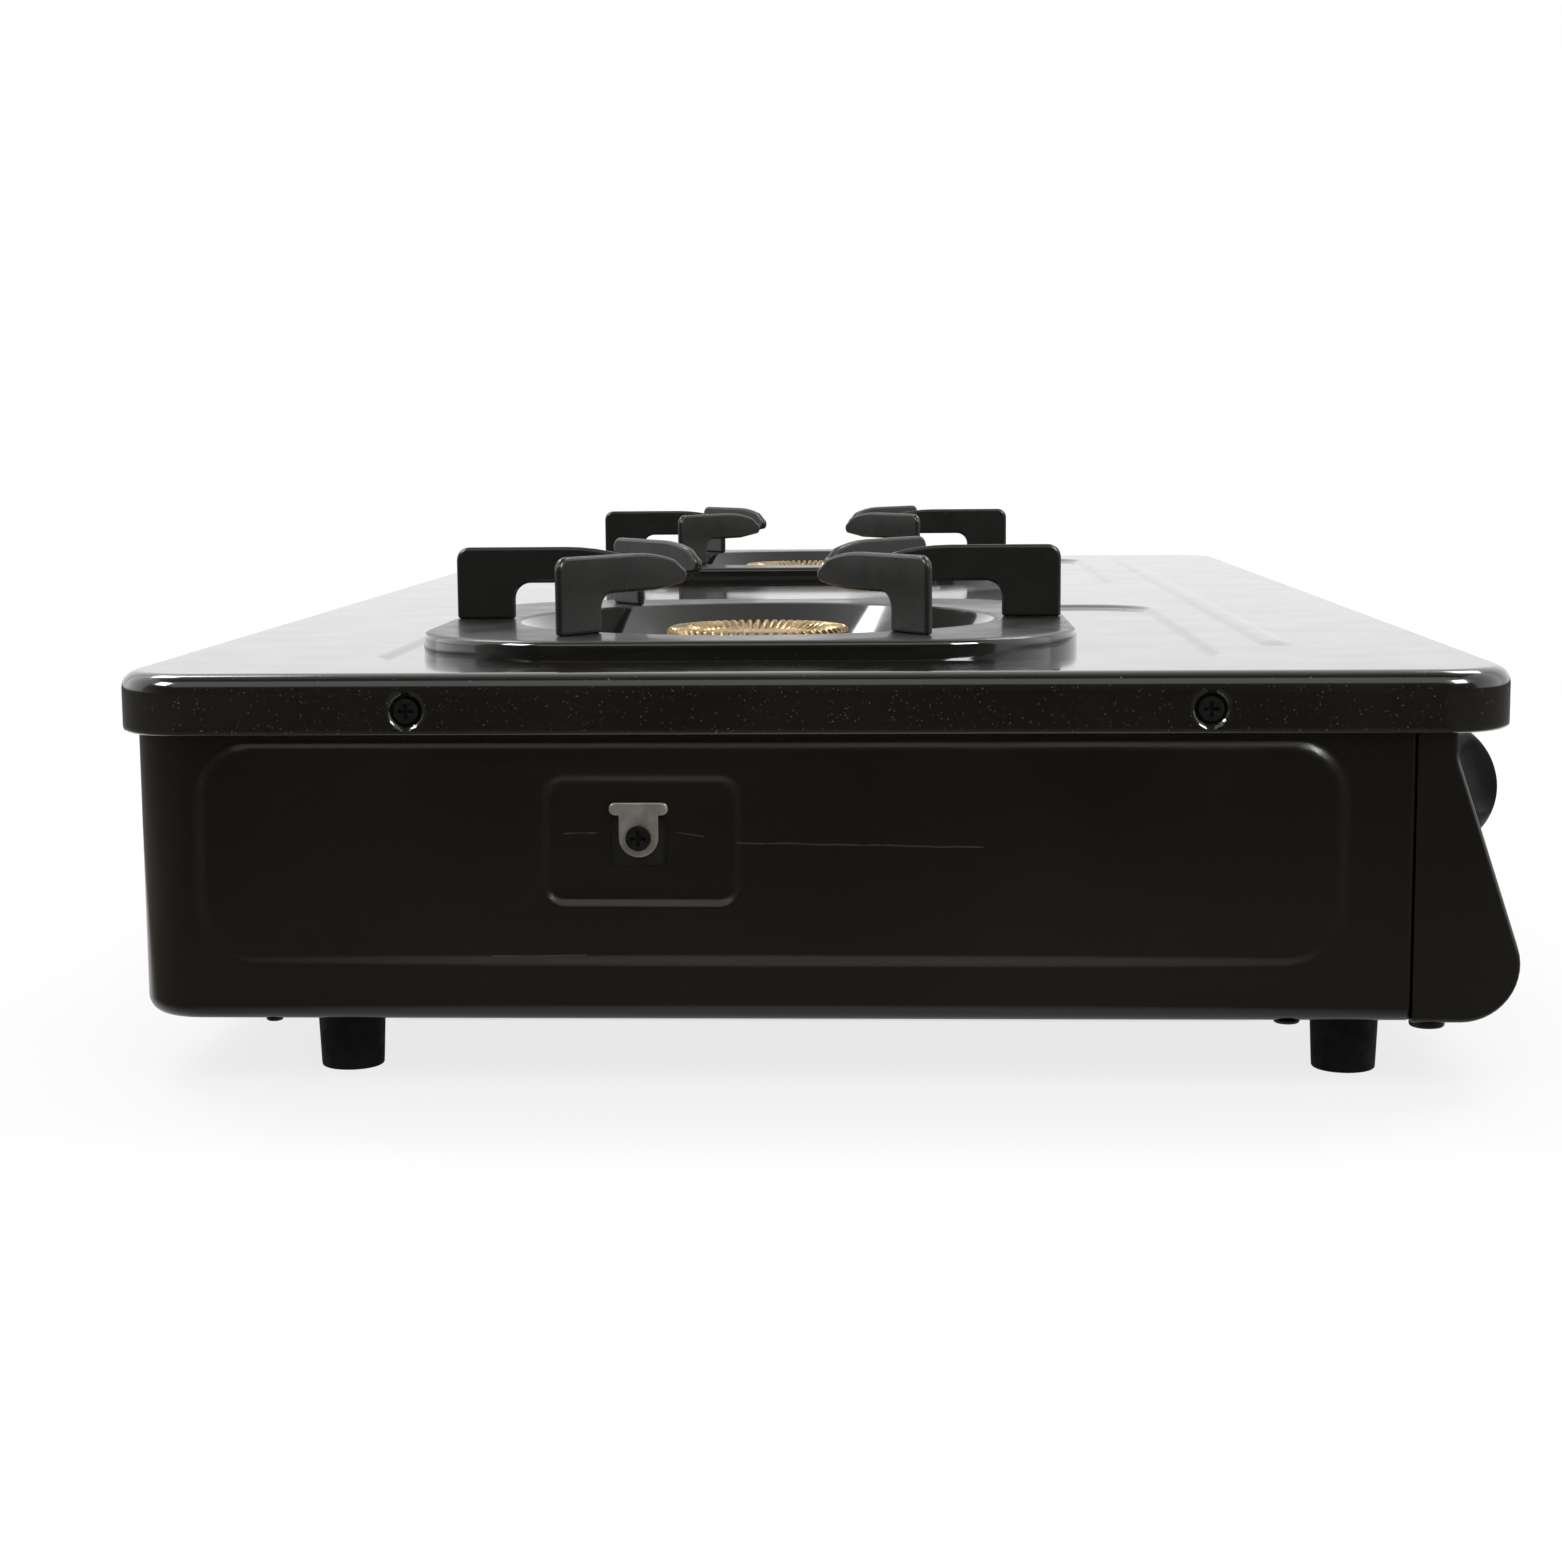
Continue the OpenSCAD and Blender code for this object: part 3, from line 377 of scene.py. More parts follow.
@dataclass(frozen=True)
class SpeckledEnamel(Finish):
    """Fired enamel with fine pale specks in the black."""

    speck: Colour = (0.085, 0.083, 0.072)
    # Cells in a metre, radius of a speck in its cell, and share of the cells that hold one
    fine: tuple[float, float, float] = (1100.0, 0.24, 0.2)
    large: tuple[float, float, float] = (430.0, 0.14, 0.08)
    patch_scale: float = 300.0
    patch_fade: Flat = (0.35, 0.8)

    def colour(self, graph: Graph) -> Wire:
        """Black with large specks, and fine ones in patches.

        Args:
            graph: The material's nodes.

        Returns:
            The colour.
        """
        fine = graph.specks(*self.fine) * graph.noise(self.patch_scale).fade(*self.patch_fade)
        base = super().colour(graph)
        return graph.mix(graph.specks(*self.large), graph.mix(fine, base, self.speck), self.speck)


@dataclass(frozen=True)
class DishEnamel(SpeckledEnamel):
    """Glossy enamel that cleaning has dulled on the flats over a height."""

    flat_z: float = WELL + 6.4
    wear_step: float = 0.5
    worn_roughness: Flat = (0.3, 0.42)
    worn_coat: float = 0.22
    rub_scale: float = 70.0
    rub_fade: Flat = (0.3, 0.7)

    def worn(self, graph: Graph) -> Wire:
        """Share of wear, from 0 in the bowl to 1 on the flats."""
        _, _, height = graph.axes(graph.place())
        return height.fade((self.flat_z - self.wear_step) * MM, self.flat_z * MM)

    def gloss(self, graph: Graph) -> Wire:
        """Roughness, higher on the flats.

        Args:
            graph: The material's nodes.

        Returns:
            The roughness.
        """
        clouds = graph.noise(self.rub_scale, self.CLOUD_DETAIL).fade(*self.rub_fade)
        share = self.worn(graph)
        return super().gloss(graph) * (1 - share) + clouds.between(*self.worn_roughness) * share

    def clear_coat(self, graph: Graph) -> Wire:
        """Weight of the clear coat, thin on the flats."""
        return self.worn(graph).between(self.coat, self.worn_coat)


@dataclass(frozen=True)
class ScuffedPaint(Finish):
    """Casing paint with a few faint handling scratches on the left end."""

    mark: Colour = (0.036, 0.028, 0.021)
    scratches: tuple[tuple[Flat, Flat], ...] = (
        ((19.0, 67.6), (-47.5, 66.4)),
        ((66.0, 70.0), (57.0, 70.2)),
        ((35.5, 70.2), (28.0, 69.4)),
        ((86.0, 36.4), (60.0, 36.9)),
    )
    half_width: float = 0.22
    left_end: float = -340.0
    wander: float = 0.4
    wander_scale: float = 90.0
    break_scale: float = 260.0
    break_fade: Flat = (0.2, 0.55)

    def colour(self, graph: Graph) -> Wire:
        """Paint with the scratches drawn in.

        Args:
            graph: The material's nodes.

        Returns:
            The colour.
        """
        x, y, z = graph.axes(graph.place())
        shade = super().colour(graph)
        wander = graph.noise(self.wander_scale).between(-self.wander * MM, self.wander * MM)
        broken = graph.noise(self.break_scale, self.CLOUD_DETAIL).fade(*self.break_fade)
        where = x.under(self.left_end * MM) * broken
        for (y0, z0), (y1, z1) in self.scratches:
            slope = (z1 - z0) / (y1 - y0)
            level = (z0 - slope * (y0 + PLATE_Y)) * MM
            off = (z - y * slope - level + wander).math("ABSOLUTE")
            low, high = sorted(((y0 + PLATE_Y) * MM, (y1 + PLATE_Y) * MM))
            line = off.under(self.half_width * MM) * y.over(low) * y.under(high)
            shade = graph.mix(line * where, shade, self.mark)
        return shade


ENAMEL = SpeckledEnamel(
    "speckled_enamel", "enamel", (0.0060, 0.0057, 0.0045), (0.0078, 0.0074, 0.0060), (0.15, 0.19),
    tone_scale=25.0, grain_scale=260.0, grain_depth=0.000002, coat=0.7, coat_roughness=0.06,
)
PAN_ENAMEL = DishEnamel(
    "dish_enamel", "pan_enamel", (0.0066, 0.0066, 0.0056), (0.0092, 0.0092, 0.0080), (0.08, 0.14),
    tone_scale=30.0, grain_scale=55.0, grain_depth=0.00006, coat=0.8, coat_roughness=0.04,
    speck=(0.03, 0.031, 0.028),
)
FINGER_ENAMEL = Finish(
    "finger_enamel", "pan_enamel", (0.0140, 0.0142, 0.0124), (0.0162, 0.0164, 0.0144), (0.25, 0.30),
    tone_scale=45.0, grain_scale=300.0, grain_depth=0.000003,
)
CASING = ScuffedPaint(
    "casing_paint", "casing", (0.0056, 0.0047, 0.0032), (0.0074, 0.0061, 0.0042), (0.19, 0.25),
    tone_scale=14.0, grain_scale=700.0,
)
FRONT_PAINT = Finish(
    "front_coat", "front_paint", (0.0056, 0.0051, 0.0037), (0.0074, 0.0065, 0.0048), (0.2, 0.27),
    tone_scale=16.0, grain_scale=700.0,
)
RUBBER = Finish(
    "foot_rubber", "rubber", (0.0032, 0.0032, 0.0027), (0.0052, 0.0052, 0.0045), (0.62, 0.8),
    tone_scale=140.0, grain_scale=1600.0, grain_depth=0.00006, specular=0.15,
)
DULL_STEEL = Finish(
    "dull_steel", "plain_steel", (0.30, 0.285, 0.26), (0.41, 0.39, 0.36), (0.36, 0.5),
    tone_scale=180.0, grain_scale=900.0, grain_depth=0.00002, metallic=0.75,
)
BRUSHED_STEEL = Finish(
    "brushed_steel", "plain_steel", (0.42, 0.42, 0.41), (0.56, 0.56, 0.55), (0.24, 0.4),
    tone_scale=300.0, grain_scale=1500.0, grain_depth=0.000008,
    stretch=(0.06, 1.0, 1.0), metallic=1.0,
)
BLACK_STEEL = Finish(
    "black_steel", "black_screws", (0.0030, 0.0029, 0.0027), (0.0058, 0.0056, 0.0052), (0.34, 0.5),
    tone_scale=500.0, grain_scale=2400.0, specular=0.3,
)
# Painted shade: the bracket's steel is given a near-black tone, so that the slot in the side panel
# behind the clip shows as a dark, shaded opening
BRACKET_STEEL_AS_PAINTED_SHADE = Finish(
    "bracket_steel_painted_shade", "plain_steel", (0.012, 0.0115, 0.011), (0.02, 0.019, 0.018), (0.5, 0.66),
    tone_scale=90.0, grain_scale=900.0, grain_depth=0.00003, metallic=0.4,
)
CAST = Finish(
    "burner_casting", "cast_metal", (0.10, 0.10, 0.10), (0.17, 0.168, 0.165), (0.5, 0.7),
    tone_scale=120.0, grain_scale=1100.0, grain_depth=0.00012, metallic=0.85,
)
BRASS = Finish(
    "burner_brass", "brass", (0.34, 0.24, 0.115), (0.50, 0.37, 0.205), (0.26, 0.42),
    tone_scale=260.0, grain_scale=1800.0, grain_depth=0.00003, metallic=1.0,
)
PLASTIC = Finish(
    "knob_plastic", "black_plastic", (0.0022, 0.0022, 0.0023), (0.0034, 0.0034, 0.0035), (0.5, 0.6),
    tone_scale=70.0, grain_scale=1500.0, grain_depth=0.000015, specular=0.12,
)
POINTER_PAINT = Finish(
    "pointer_paint", "black_plastic", (0.60, 0.60, 0.58), (0.68, 0.68, 0.66), (0.4, 0.55),
    tone_scale=300.0, grain_scale=1500.0, grain_depth=0.00002,
)
CERAMIC = Finish(
    "spark_ceramic", "ceramic", (0.70, 0.67, 0.60), (0.80, 0.78, 0.72), (0.25, 0.4),
    tone_scale=200.0, grain_scale=1200.0,
)

NODE_FINISHES: dict[str, Finish] = {
    "back_panel": CASING,
    "base_pan": CASING,
    "foot_screws": BRUSHED_STEEL,
    "rim_screws": BLACK_STEEL,
    "tab_screws": BLACK_STEEL,
    "back_screws": BLACK_STEEL,
    "panel_screws": BLACK_STEEL,
    "burner_bolts": BRUSHED_STEEL,
    # painted shade: the bracket's dark tone stands in for the shade inside the slot
    "burner_bracket": BRACKET_STEEL_AS_PAINTED_SHADE,
    "burner_body": CAST,
    "electrode": CERAMIC,
    "air_shutter": DULL_STEEL,
    "injector": BRASS,
    "tap_body": BRASS,
    "igniter": PLASTIC,
    "thrust_washer": BRUSHED_STEEL,
    "spindle": BRUSHED_STEEL,
    "gas_rail": DULL_STEEL,
    "rail_posts": DULL_STEEL,
    "hose_nozzle": BRASS,
    "inlet_nut": BRASS,
}


@dataclass(frozen=True)
class RoundLoop:
    """Rectangle with round corners, as a closed loop of points that can be drawn smaller."""

    half_x: float
    half_y: float
    radius: float
    middle: Flat = (0.0, 0.0)
    stops_x: tuple[float, ...] = ()
    stops_y: tuple[float, ...] = ()
    corner_steps: int = 8
    least: float = 0.2

    def points(self, inset: float = 0.0) -> list[Flat]:
        """The loop, anticlockwise from the right side.

        Args:
            inset: How far it is drawn in.

        Returns:
            Its points.
        """
        radius = max(self.radius - inset, self.least)
        core_x = self.half_x - inset - radius
        core_y = self.half_y - inset - radius
        x, y = core_x + radius, core_y + radius
        sides = (
            [(x, t) for t in self.stops_y],
            [(t, y) for t in reversed(self.stops_x)],
            [(-x, t) for t in reversed(self.stops_y)],
            [(t, -y) for t in self.stops_x],
        )
        cores = ((core_x, core_y), (-core_x, core_y), (-core_x, -core_y), (core_x, -core_y))
        loop: list[Flat] = []
        for turn, (side, core) in enumerate(zip(sides, cores)):
            loop += side
            loop += arc(core, radius, 90.0 * turn, 90.0 * turn + 90.0, self.corner_steps)
        return [(px + self.middle[0], py + self.middle[1]) for px, py in loop]

    def holds(self, x: float, y: float) -> bool:
        """True if a point lies in the loop's straight-sided box."""
        return abs(x - self.middle[0]) < self.half_x and abs(y - self.middle[1]) < self.half_y


class Shape:
    """Points and faces of one piece, in millimetres from under the plate's middle."""

    def __init__(self) -> None:
        """Starts with nothing."""
        self.points: list[Solid] = []
        self.faces: list[tuple[int, ...]] = []

    def row(self, points: Iterable[Solid]) -> list[int]:
        """Adds points.

        Args:
            points: The points.

        Returns:
            Their places in the list.
        """
        start = len(self.points)
        self.points.extend(points)
        return list(range(start, len(self.points)))

    def loft(
        self,
        rows: Sequence[Sequence[Solid]],
        closed: bool = True,
        skip: Optional[Callable[[int, int], bool]] = None,
    ) -> list[list[int]]:
        """Joins rows of points with four-sided faces.

        Args:
            rows: Rows with as many points each.
            closed: Whether each row runs round to its start.
            skip: Says which faces are left out, by row and column.

        Returns:
            The places of the rows' points.
        """
        ids = [self.row(r) for r in rows]
        count = len(ids[0])
        for i, (low, high) in enumerate(zip(ids, ids[1:])):
            for j in range(count if closed else count - 1):
                k = (j + 1) % count
                if skip is None or not skip(i, j):
                    self.faces.append((low[j], low[k], high[k], high[j]))
        return ids

    def cap(self, ids: Sequence[int]) -> None:
        """Closes a ring with one face."""
        self.faces.append(tuple(ids))

    def bar(self, rows: Sequence[Sequence[Solid]]) -> None:
        """Joins rows and closes both ends.

        Args:
            rows: Rows with as many points each.
        """
        ids = self.loft(rows)
        self.cap(ids[0])
        self.cap(ids[-1])

    def lathe(self, profile: Sequence[Flat], steps: int, where: Matrix) -> None:
        """Turns a profile round the local Z axis.

        Args:
            profile: Radius and height of its points.
            steps: Points in a ring.
            where: Place of the local frame.
        """
        ring = [(math.cos(a), math.sin(a)) for a in circle(steps)]
        self.loft([[tuple(where @ Vector((r * c, r * s, z))) for c, s in ring] for r, z in profile])

    def sheet(
        self,
        loops: Sequence[tuple[Sequence[Flat], float]],
        keep: Callable[[float, float], bool],
        place: Callable[[float, float, float], Solid],
    ) -> None:
        """Fills the space among flat loops with triangles, each loop at a height.

        Args:
            loops: Closed loops with their heights, none crossing another.
            keep: Says whether a flat point belongs to the sheet.
            place: Gives the solid point of a flat point and its height.
        """
        flat: list[Vector] = []
        heights: list[float] = []
        edges: list[tuple[int, int]] = []
        for points, height in loops:
            start, count = len(flat), len(points)
            flat += [Vector(p) for p in points]
            heights += [height] * count
            edges += [(start + i, start + (i + 1) % count) for i in range(count)]
        spots, _, faces, sources, _, _ = delaunay_2d_cdt(flat, edges, [], 0, FLAT_MERGE)
        ids = self.row(place(p.x, p.y, heights[source[0]]) for p, source in zip(spots, sources))
        for face in faces:
            middle = sum((spots[i] for i in face), Vector((0.0, 0.0))) / len(face)
            if keep(middle.x, middle.y):
                self.faces.append(tuple(ids[i] for i in face))

    def moved(self, where: Matrix) -> "Shape":
        """The same shape in another place.

        Args:
            where: The place.

        Returns:
            A new shape.
        """
        other = Shape()
        other.points = [tuple(where @ Vector(p)) for p in self.points]
        other.faces = list(self.faces)
        return other

    def join(self, other: "Shape") -> None:
        """Takes in another shape.

        Args:
            other: The shape, which stays as it is.
        """
        start = len(self.points)
        self.points += other.points
        self.faces += [tuple(i + start for i in face) for face in other.faces]

    def mesh(self, name: str, outward: Optional[Solid], sharp: float) -> bpy.types.Mesh:
        """Makes the mesh, with its faces looking out and smooth between sharp edges.

        Args:
            name: Name of the mesh.
            outward: A side that an open sheet's outer face looks to.
            sharp: Edges with a larger angle stay sharp.

        Returns:
            The mesh.
        """
        mesh = bpy.data.meshes.new(name)
        mesh.from_pydata([metres(p) for p in self.points], [], self.faces)
        shell = bmesh.new()
        shell.from_mesh(mesh)
        bmesh.ops.remove_doubles(shell, verts=shell.verts, dist=MERGE)
        bmesh.ops.recalc_face_normals(shell, faces=shell.faces)
        if outward is not None:
            facing = sum(f.normal.dot(Vector(outward)) * f.calc_area() for f in shell.faces)
            if facing < 0:
                bmesh.ops.reverse_faces(shell, faces=shell.faces)
        for edge in shell.edges:
            edge.smooth = edge.is_manifold and edge.calc_face_angle(0.0) < math.radians(sharp)
        for face in shell.faces:
            face.smooth = True
        shell.to_mesh(mesh)
        shell.free()
        return mesh

    def make(
        self,
        name: str,
        finish: Finish,
        body: Body = Body.STOVE,
        nodes: Sequence[str] = (),
        outward: Optional[Solid] = None,
        sheet: float = 0.0,
        soften: float = 0.0,
        sharp: float = 42.0,
    ) -> bpy.types.Object:
        """Makes the piece and sets it on its body.

        Args:
            name: Name of the piece.
            finish: Its finish.
            body: The body that it rides on.
            nodes: CAD nodes that it stands for.
            outward: A side that an open sheet's outer face looks to.
            sheet: Thickness of the sheet, or 0 for a closed shape.
            soften: Radius of its edges, or 0.
            sharp: Edges with a larger angle stay sharp.

        Returns:
            The piece.
        """
        mesh = self.mesh(name, outward, sharp)
        mesh.materials.append(finish.make())
        piece = bpy.data.objects.new(name, mesh)
        bpy.context.scene.collection.objects.link(piece)
        if sheet:
            wall = piece.modifiers.new("sheet", "SOLIDIFY")
            wall.thickness = sheet * MM
            wall.offset = -1.0
        if soften:
            edges = piece.modifiers.new("edges", "BEVEL")
            edges.width = soften * MM
            edges.segments = SOFT_STEPS
            edges.limit_method = "ANGLE"
            edges.angle_limit = math.radians(SOFT_ANGLE)
        flats = piece.modifiers.new("flats", "WEIGHTED_NORMAL")
        flats.keep_sharp = True
        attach(piece, body.value)
        if nodes:
            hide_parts(*nodes)
        LOG.info("%s: %d points on %s", name, len(mesh.vertices), body.value)
        return piece


def plate_from_outline(outline: Sequence[Flat], thickness: float) -> Shape:
    """Flat piece cut to an outline, standing in its local XY plane.

    Args:
        outline: The outline's points.
        thickness: Its thickness, half on either side.

    Returns:
        The shape.
    """
    shape = Shape()
    shape.bar([[(x, y, z) for x, y in outline] for z in (-thickness / 2, thickness / 2)])
    return shape


@dataclass(frozen=True)
class TopPlate:
    """Enamelled plate: turned-down rim with screw dimples, soft spill wells and a pressed bead."""

    half_x: float = HALF_X
    half_y: float = HALF_Y
    corner: float = CORNER
    edge: float = 5.0
    top: float = TOP
    rim_bottom: float = RIM
    hem: float = 1.5
    sheet: float = SHEET
    well_depth: float = TOP - WELL
    well_slope: float = 4.5
    well_lead: float = 0.35
    well_x: Flat = (BURNER[0] - PAN_HALF - 46.0, BURNER[0] + PAN_HALF + 1.5)
    well_y: Flat = (BURNER[1] - PAN_HALF - 38.0, BURNER[1] + PAN_HALF + 7.5)
    well_corner: float = 22.0
    hole: float = 73.0
    hole_steps: int = 120
    hole_slack: float = 0.5
    burner: Flat = BURNER
    bead_half: Flat = (266.0, 4.5)
    bead_y: float = 53.0 - HALF_Y
    bead_height: float = 0.8
    bead_end: float = 14.0
    bead_lead: float = 0.6
    bead_run: float = 4.4
    bead_rows: tuple[float, ...] = (0.0, 0.14, 0.28, 0.42, 0.56, 0.7, 0.85, 1.0)
    dimple_y: float = 107.5
    dimple_z: float = TOP - 10.0
    dimple_depth: float = 2.3
    dimple_radii: Flat = (3.3, 5.0)
    dimple_pitch: float = 0.85
    dimple_stops: int = 8
    end_stops: Flat = (90.0, 140.0)
    side_stop: float = 320.0

    def pressings(self) -> list[tuple[list[Flat], float]]:
        """Pressed forms of the plate.

        Returns:
            Loops of the wells, the burner holes and the bead, with their heights.
        """
        loops: list[tuple[list[Flat], float]] = []
        (near, far), (front, back) = self.well_x, self.well_y
        half = (far - near) / 2, (back - front) / 2
        last = 360.0 * (self.hole_steps - 1) / self.hole_steps
        for side in Side:
            middle = side.value * (near + far) / 2, (front + back) / 2
            well = RoundLoop(*half, self.well_corner, middle, corner_steps=14)
            for t in SLOPE_STEPS:
                level = self.top - self.well_depth * eased(t)
                loops.append((well.points((t - self.well_lead) * self.well_slope), level))
            spot = side.value * self.burner[0], self.burner[1]
            hole = arc(spot, self.hole, 0.0, last, self.hole_steps - 1)
            loops.append((hole, self.top - self.well_depth))
        long, wide = self.bead_half
        for t in self.bead_rows:
            rise = self.bead_height * math.sin(math.radians(90.0 * t))
            reach = long - self.bead_end * t
            bead = RoundLoop(reach, wide, wide, (0.0, self.bead_y), corner_steps=10)
            loops.append((bead.points(self.bead_run * t - self.bead_lead), self.top + rise))
        return loops

    def dented(self, x: float, y: float, z: float) -> Solid:
        """A rim point, drawn in where a screw's dimple is.

        Args:
            x: Place along the stove.
            y: Place from the front to the back.
            z: Height.

        Returns:
            The point.
        """
        inner, outer = self.dimple_radii
        off = math.hypot(abs(y) - self.dimple_y, z - self.dimple_z)
        depth = self.dimple_depth * eased((outer - off) / (outer - inner))
        return (x - math.copysign(depth, x) if abs(x) > self.half_x - self.edge else x), y, z

    def build(self) -> None:
        """Makes the plate."""
        near = [k * self.dimple_pitch for k in range(-self.dimple_stops, self.dimple_stops + 1)]
        stops_y = [s * self.dimple_y + k for s in (-1, 1) for k in near]
        inner, outer = self.end_stops
        stops_y = tuple(sorted([*stops_y, *spread(-inner, inner, 5), -outer, outer]))
        stops_x = tuple(spread(-self.side_stop, self.side_stop, 15))
        loop = RoundLoop(self.half_x, self.half_y, self.corner, (0.0, 0.0), stops_x, stops_y, 12)

        def keep(x: float, y: float) -> bool:
            """True outside the burner holes."""
            off = math.hypot(abs(x) - self.burner[0], y - self.burner[1])
            return off > self.hole - self.hole_slack

        shape = Shape()
        edge_loop = loop.points(self.edge)
        shape.sheet([(edge_loop, self.top), *self.pressings()], keep, lambda x, y, z: (x, y, z))
        low, hem = self.top - self.edge, self.rim_bottom + self.hem
        levels = arc((self.edge, low), self.edge, 90.0, 180.0, 10)
        levels += [(0.0, level) for level in (*spread(low, hem, 8), hem)]
        levels += arc((self.hem, hem), self.hem, 198.0, 270.0, 4)
        shape.loft([[self.dented(x, y, z) for x, y in loop.points(inset)] for inset, z in levels])
        shape.make(
            "enamel_top_plate", ENAMEL, nodes=["top_plate"],
            outward=(0, 0, 1), sheet=self.sheet,
        )


@dataclass(frozen=True)
class SidePanel:
    """Side of the casing: pressed field, recessed pad with a slot, bent foot and back return."""

    side: Side
    face_x: float = FACE_X
    seam_y: float = SEAM_Y
    corner_y: float = HALF_Y - CORNER
    corner: float = CORNER - OVERHANG
    return_l: float = 14.0
    base: float = BASE
    bend: float = 5.0
    lip: float = 5.5
    top: float = TOP - 1.465
    sheet: float = SHEET
    edge_round: float = 1.3
    field_half: Flat = (156.75, 31.8)
    field_middle: Flat = (10.95, RIM - 32.3)
    field_corner: float = 17.0
    field_out: float = 1.4
    field_slope: float = 4.6
    pad_half: Flat = (26.0, 17.0)
    pad_middle: Flat = (TAB_Y - 0.8, TAB_Z - 0.9)
    pad_corner: float = 5.0
    pad_slope: float = 3.0
    slot_half: Flat = (7.75, 7.0)
    slot_middle: Flat = (TAB_Y, TAB_Z - 0.9)
    slot_corner: float = 1.6

    @property
    def slot(self) -> RoundLoop:
        """Outline of the slot in the pad."""
        return RoundLoop(*self.slot_half, self.slot_corner, self.slot_middle, corner_steps=5)

    def pressings(self) -> list[tuple[list[Flat], float]]:
        """Pressed forms of the panel.

        Returns:
            Loops of the field, the pad and the slot, with how far out each lies.
        """
        field = RoundLoop(*self.field_half, self.field_corner, self.field_middle, corner_steps=12)
        pad = RoundLoop(*self.pad_half, self.pad_corner, self.pad_middle)
        loops = []
        for t in SLOPE_STEPS:
            loops.append((field.points(t * self.field_slope), self.field_out * eased(t)))
        for t in SLOPE_STEPS:
            fall = (t + eased(t)) / 2
            loops.append((pad.points((t - 0.5) * self.pad_slope), self.field_out * (1 - fall)))
        return [*loops, (self.slot.points(), 0.0)]

    def path(self, inset: float, level: float, stations: Sequence[float]) -> list[Solid]:
        """Row of points along the panel's plan, from the seam round the back corner.

        Args:
            inset: How far inside the face the row lies.
            level: Height of the row.
            stations: Places along the straight face.

        Returns:
            The points.
        """
        core = self.face_x - self.corner
        reach = self.corner - inset
        plan = [(core + reach, y) for y in stations]
        plan += arc((core, self.corner_y), reach, 0.0, 90.0, 10)[1:]
        plan.append((core - self.return_l, self.corner_y + reach))
        return [(self.side.value * x, y, level) for x, y in plan]

    def seam_edge(self, inset: float, level: float) -> list[Solid]:
        """Row of points round the edge that turns in at the seam.

        Args:
            inset: How far inside the face the row lies.
            level: Height of the row.

        Returns:
            The points.
        """
        core = self.face_x - inset - self.edge_round, self.seam_y + self.edge_round
        edge = arc(core, self.edge_round, 0.0, -90.0, 5)
        return [(self.side.value * x, y, level) for x, y in edge]

    def build(self) -> None:
        """Makes the panel."""
        front_y = self.seam_y + self.edge_round
        stations = [front_y, *spread(front_y, self.corner_y, 11), self.corner_y]
        foot = self.base + self.bend
        rim = [(y, foot) for y in stations] + [(self.corner_y, self.top), (front_y, self.top)]
        shape = Shape()
        shape.sheet(
            [(rim, 0.0), *self.pressings()],
            lambda y, z: not self.slot.holds(y, z),
            lambda y, z, out: (self.side.value * (self.face_x + out), y, z),
        )
        corner = len(stations) - 1
        shape.loft([self.path(0.0, z, stations)[corner:] for z in (self.top, foot)], closed=False)
        levels = [(self.bend - x, z) for x, z in arc((0.0, foot), self.bend, 0.0, -90.0, 9)]
        levels.append((self.bend + self.lip, self.base))
        shape.loft([self.path(*level, stations) for level in levels], closed=False)
        shape.loft([self.seam_edge(*level) for level in ((0.0, self.top), *levels)], closed=False)
        label = self.side.label
        shape.make(
            f"{label}_casing_side", CASING, nodes=[f"{label}_side_panel"],
            outward=(self.side.value, 0, 0), sheet=self.sheet,
        )


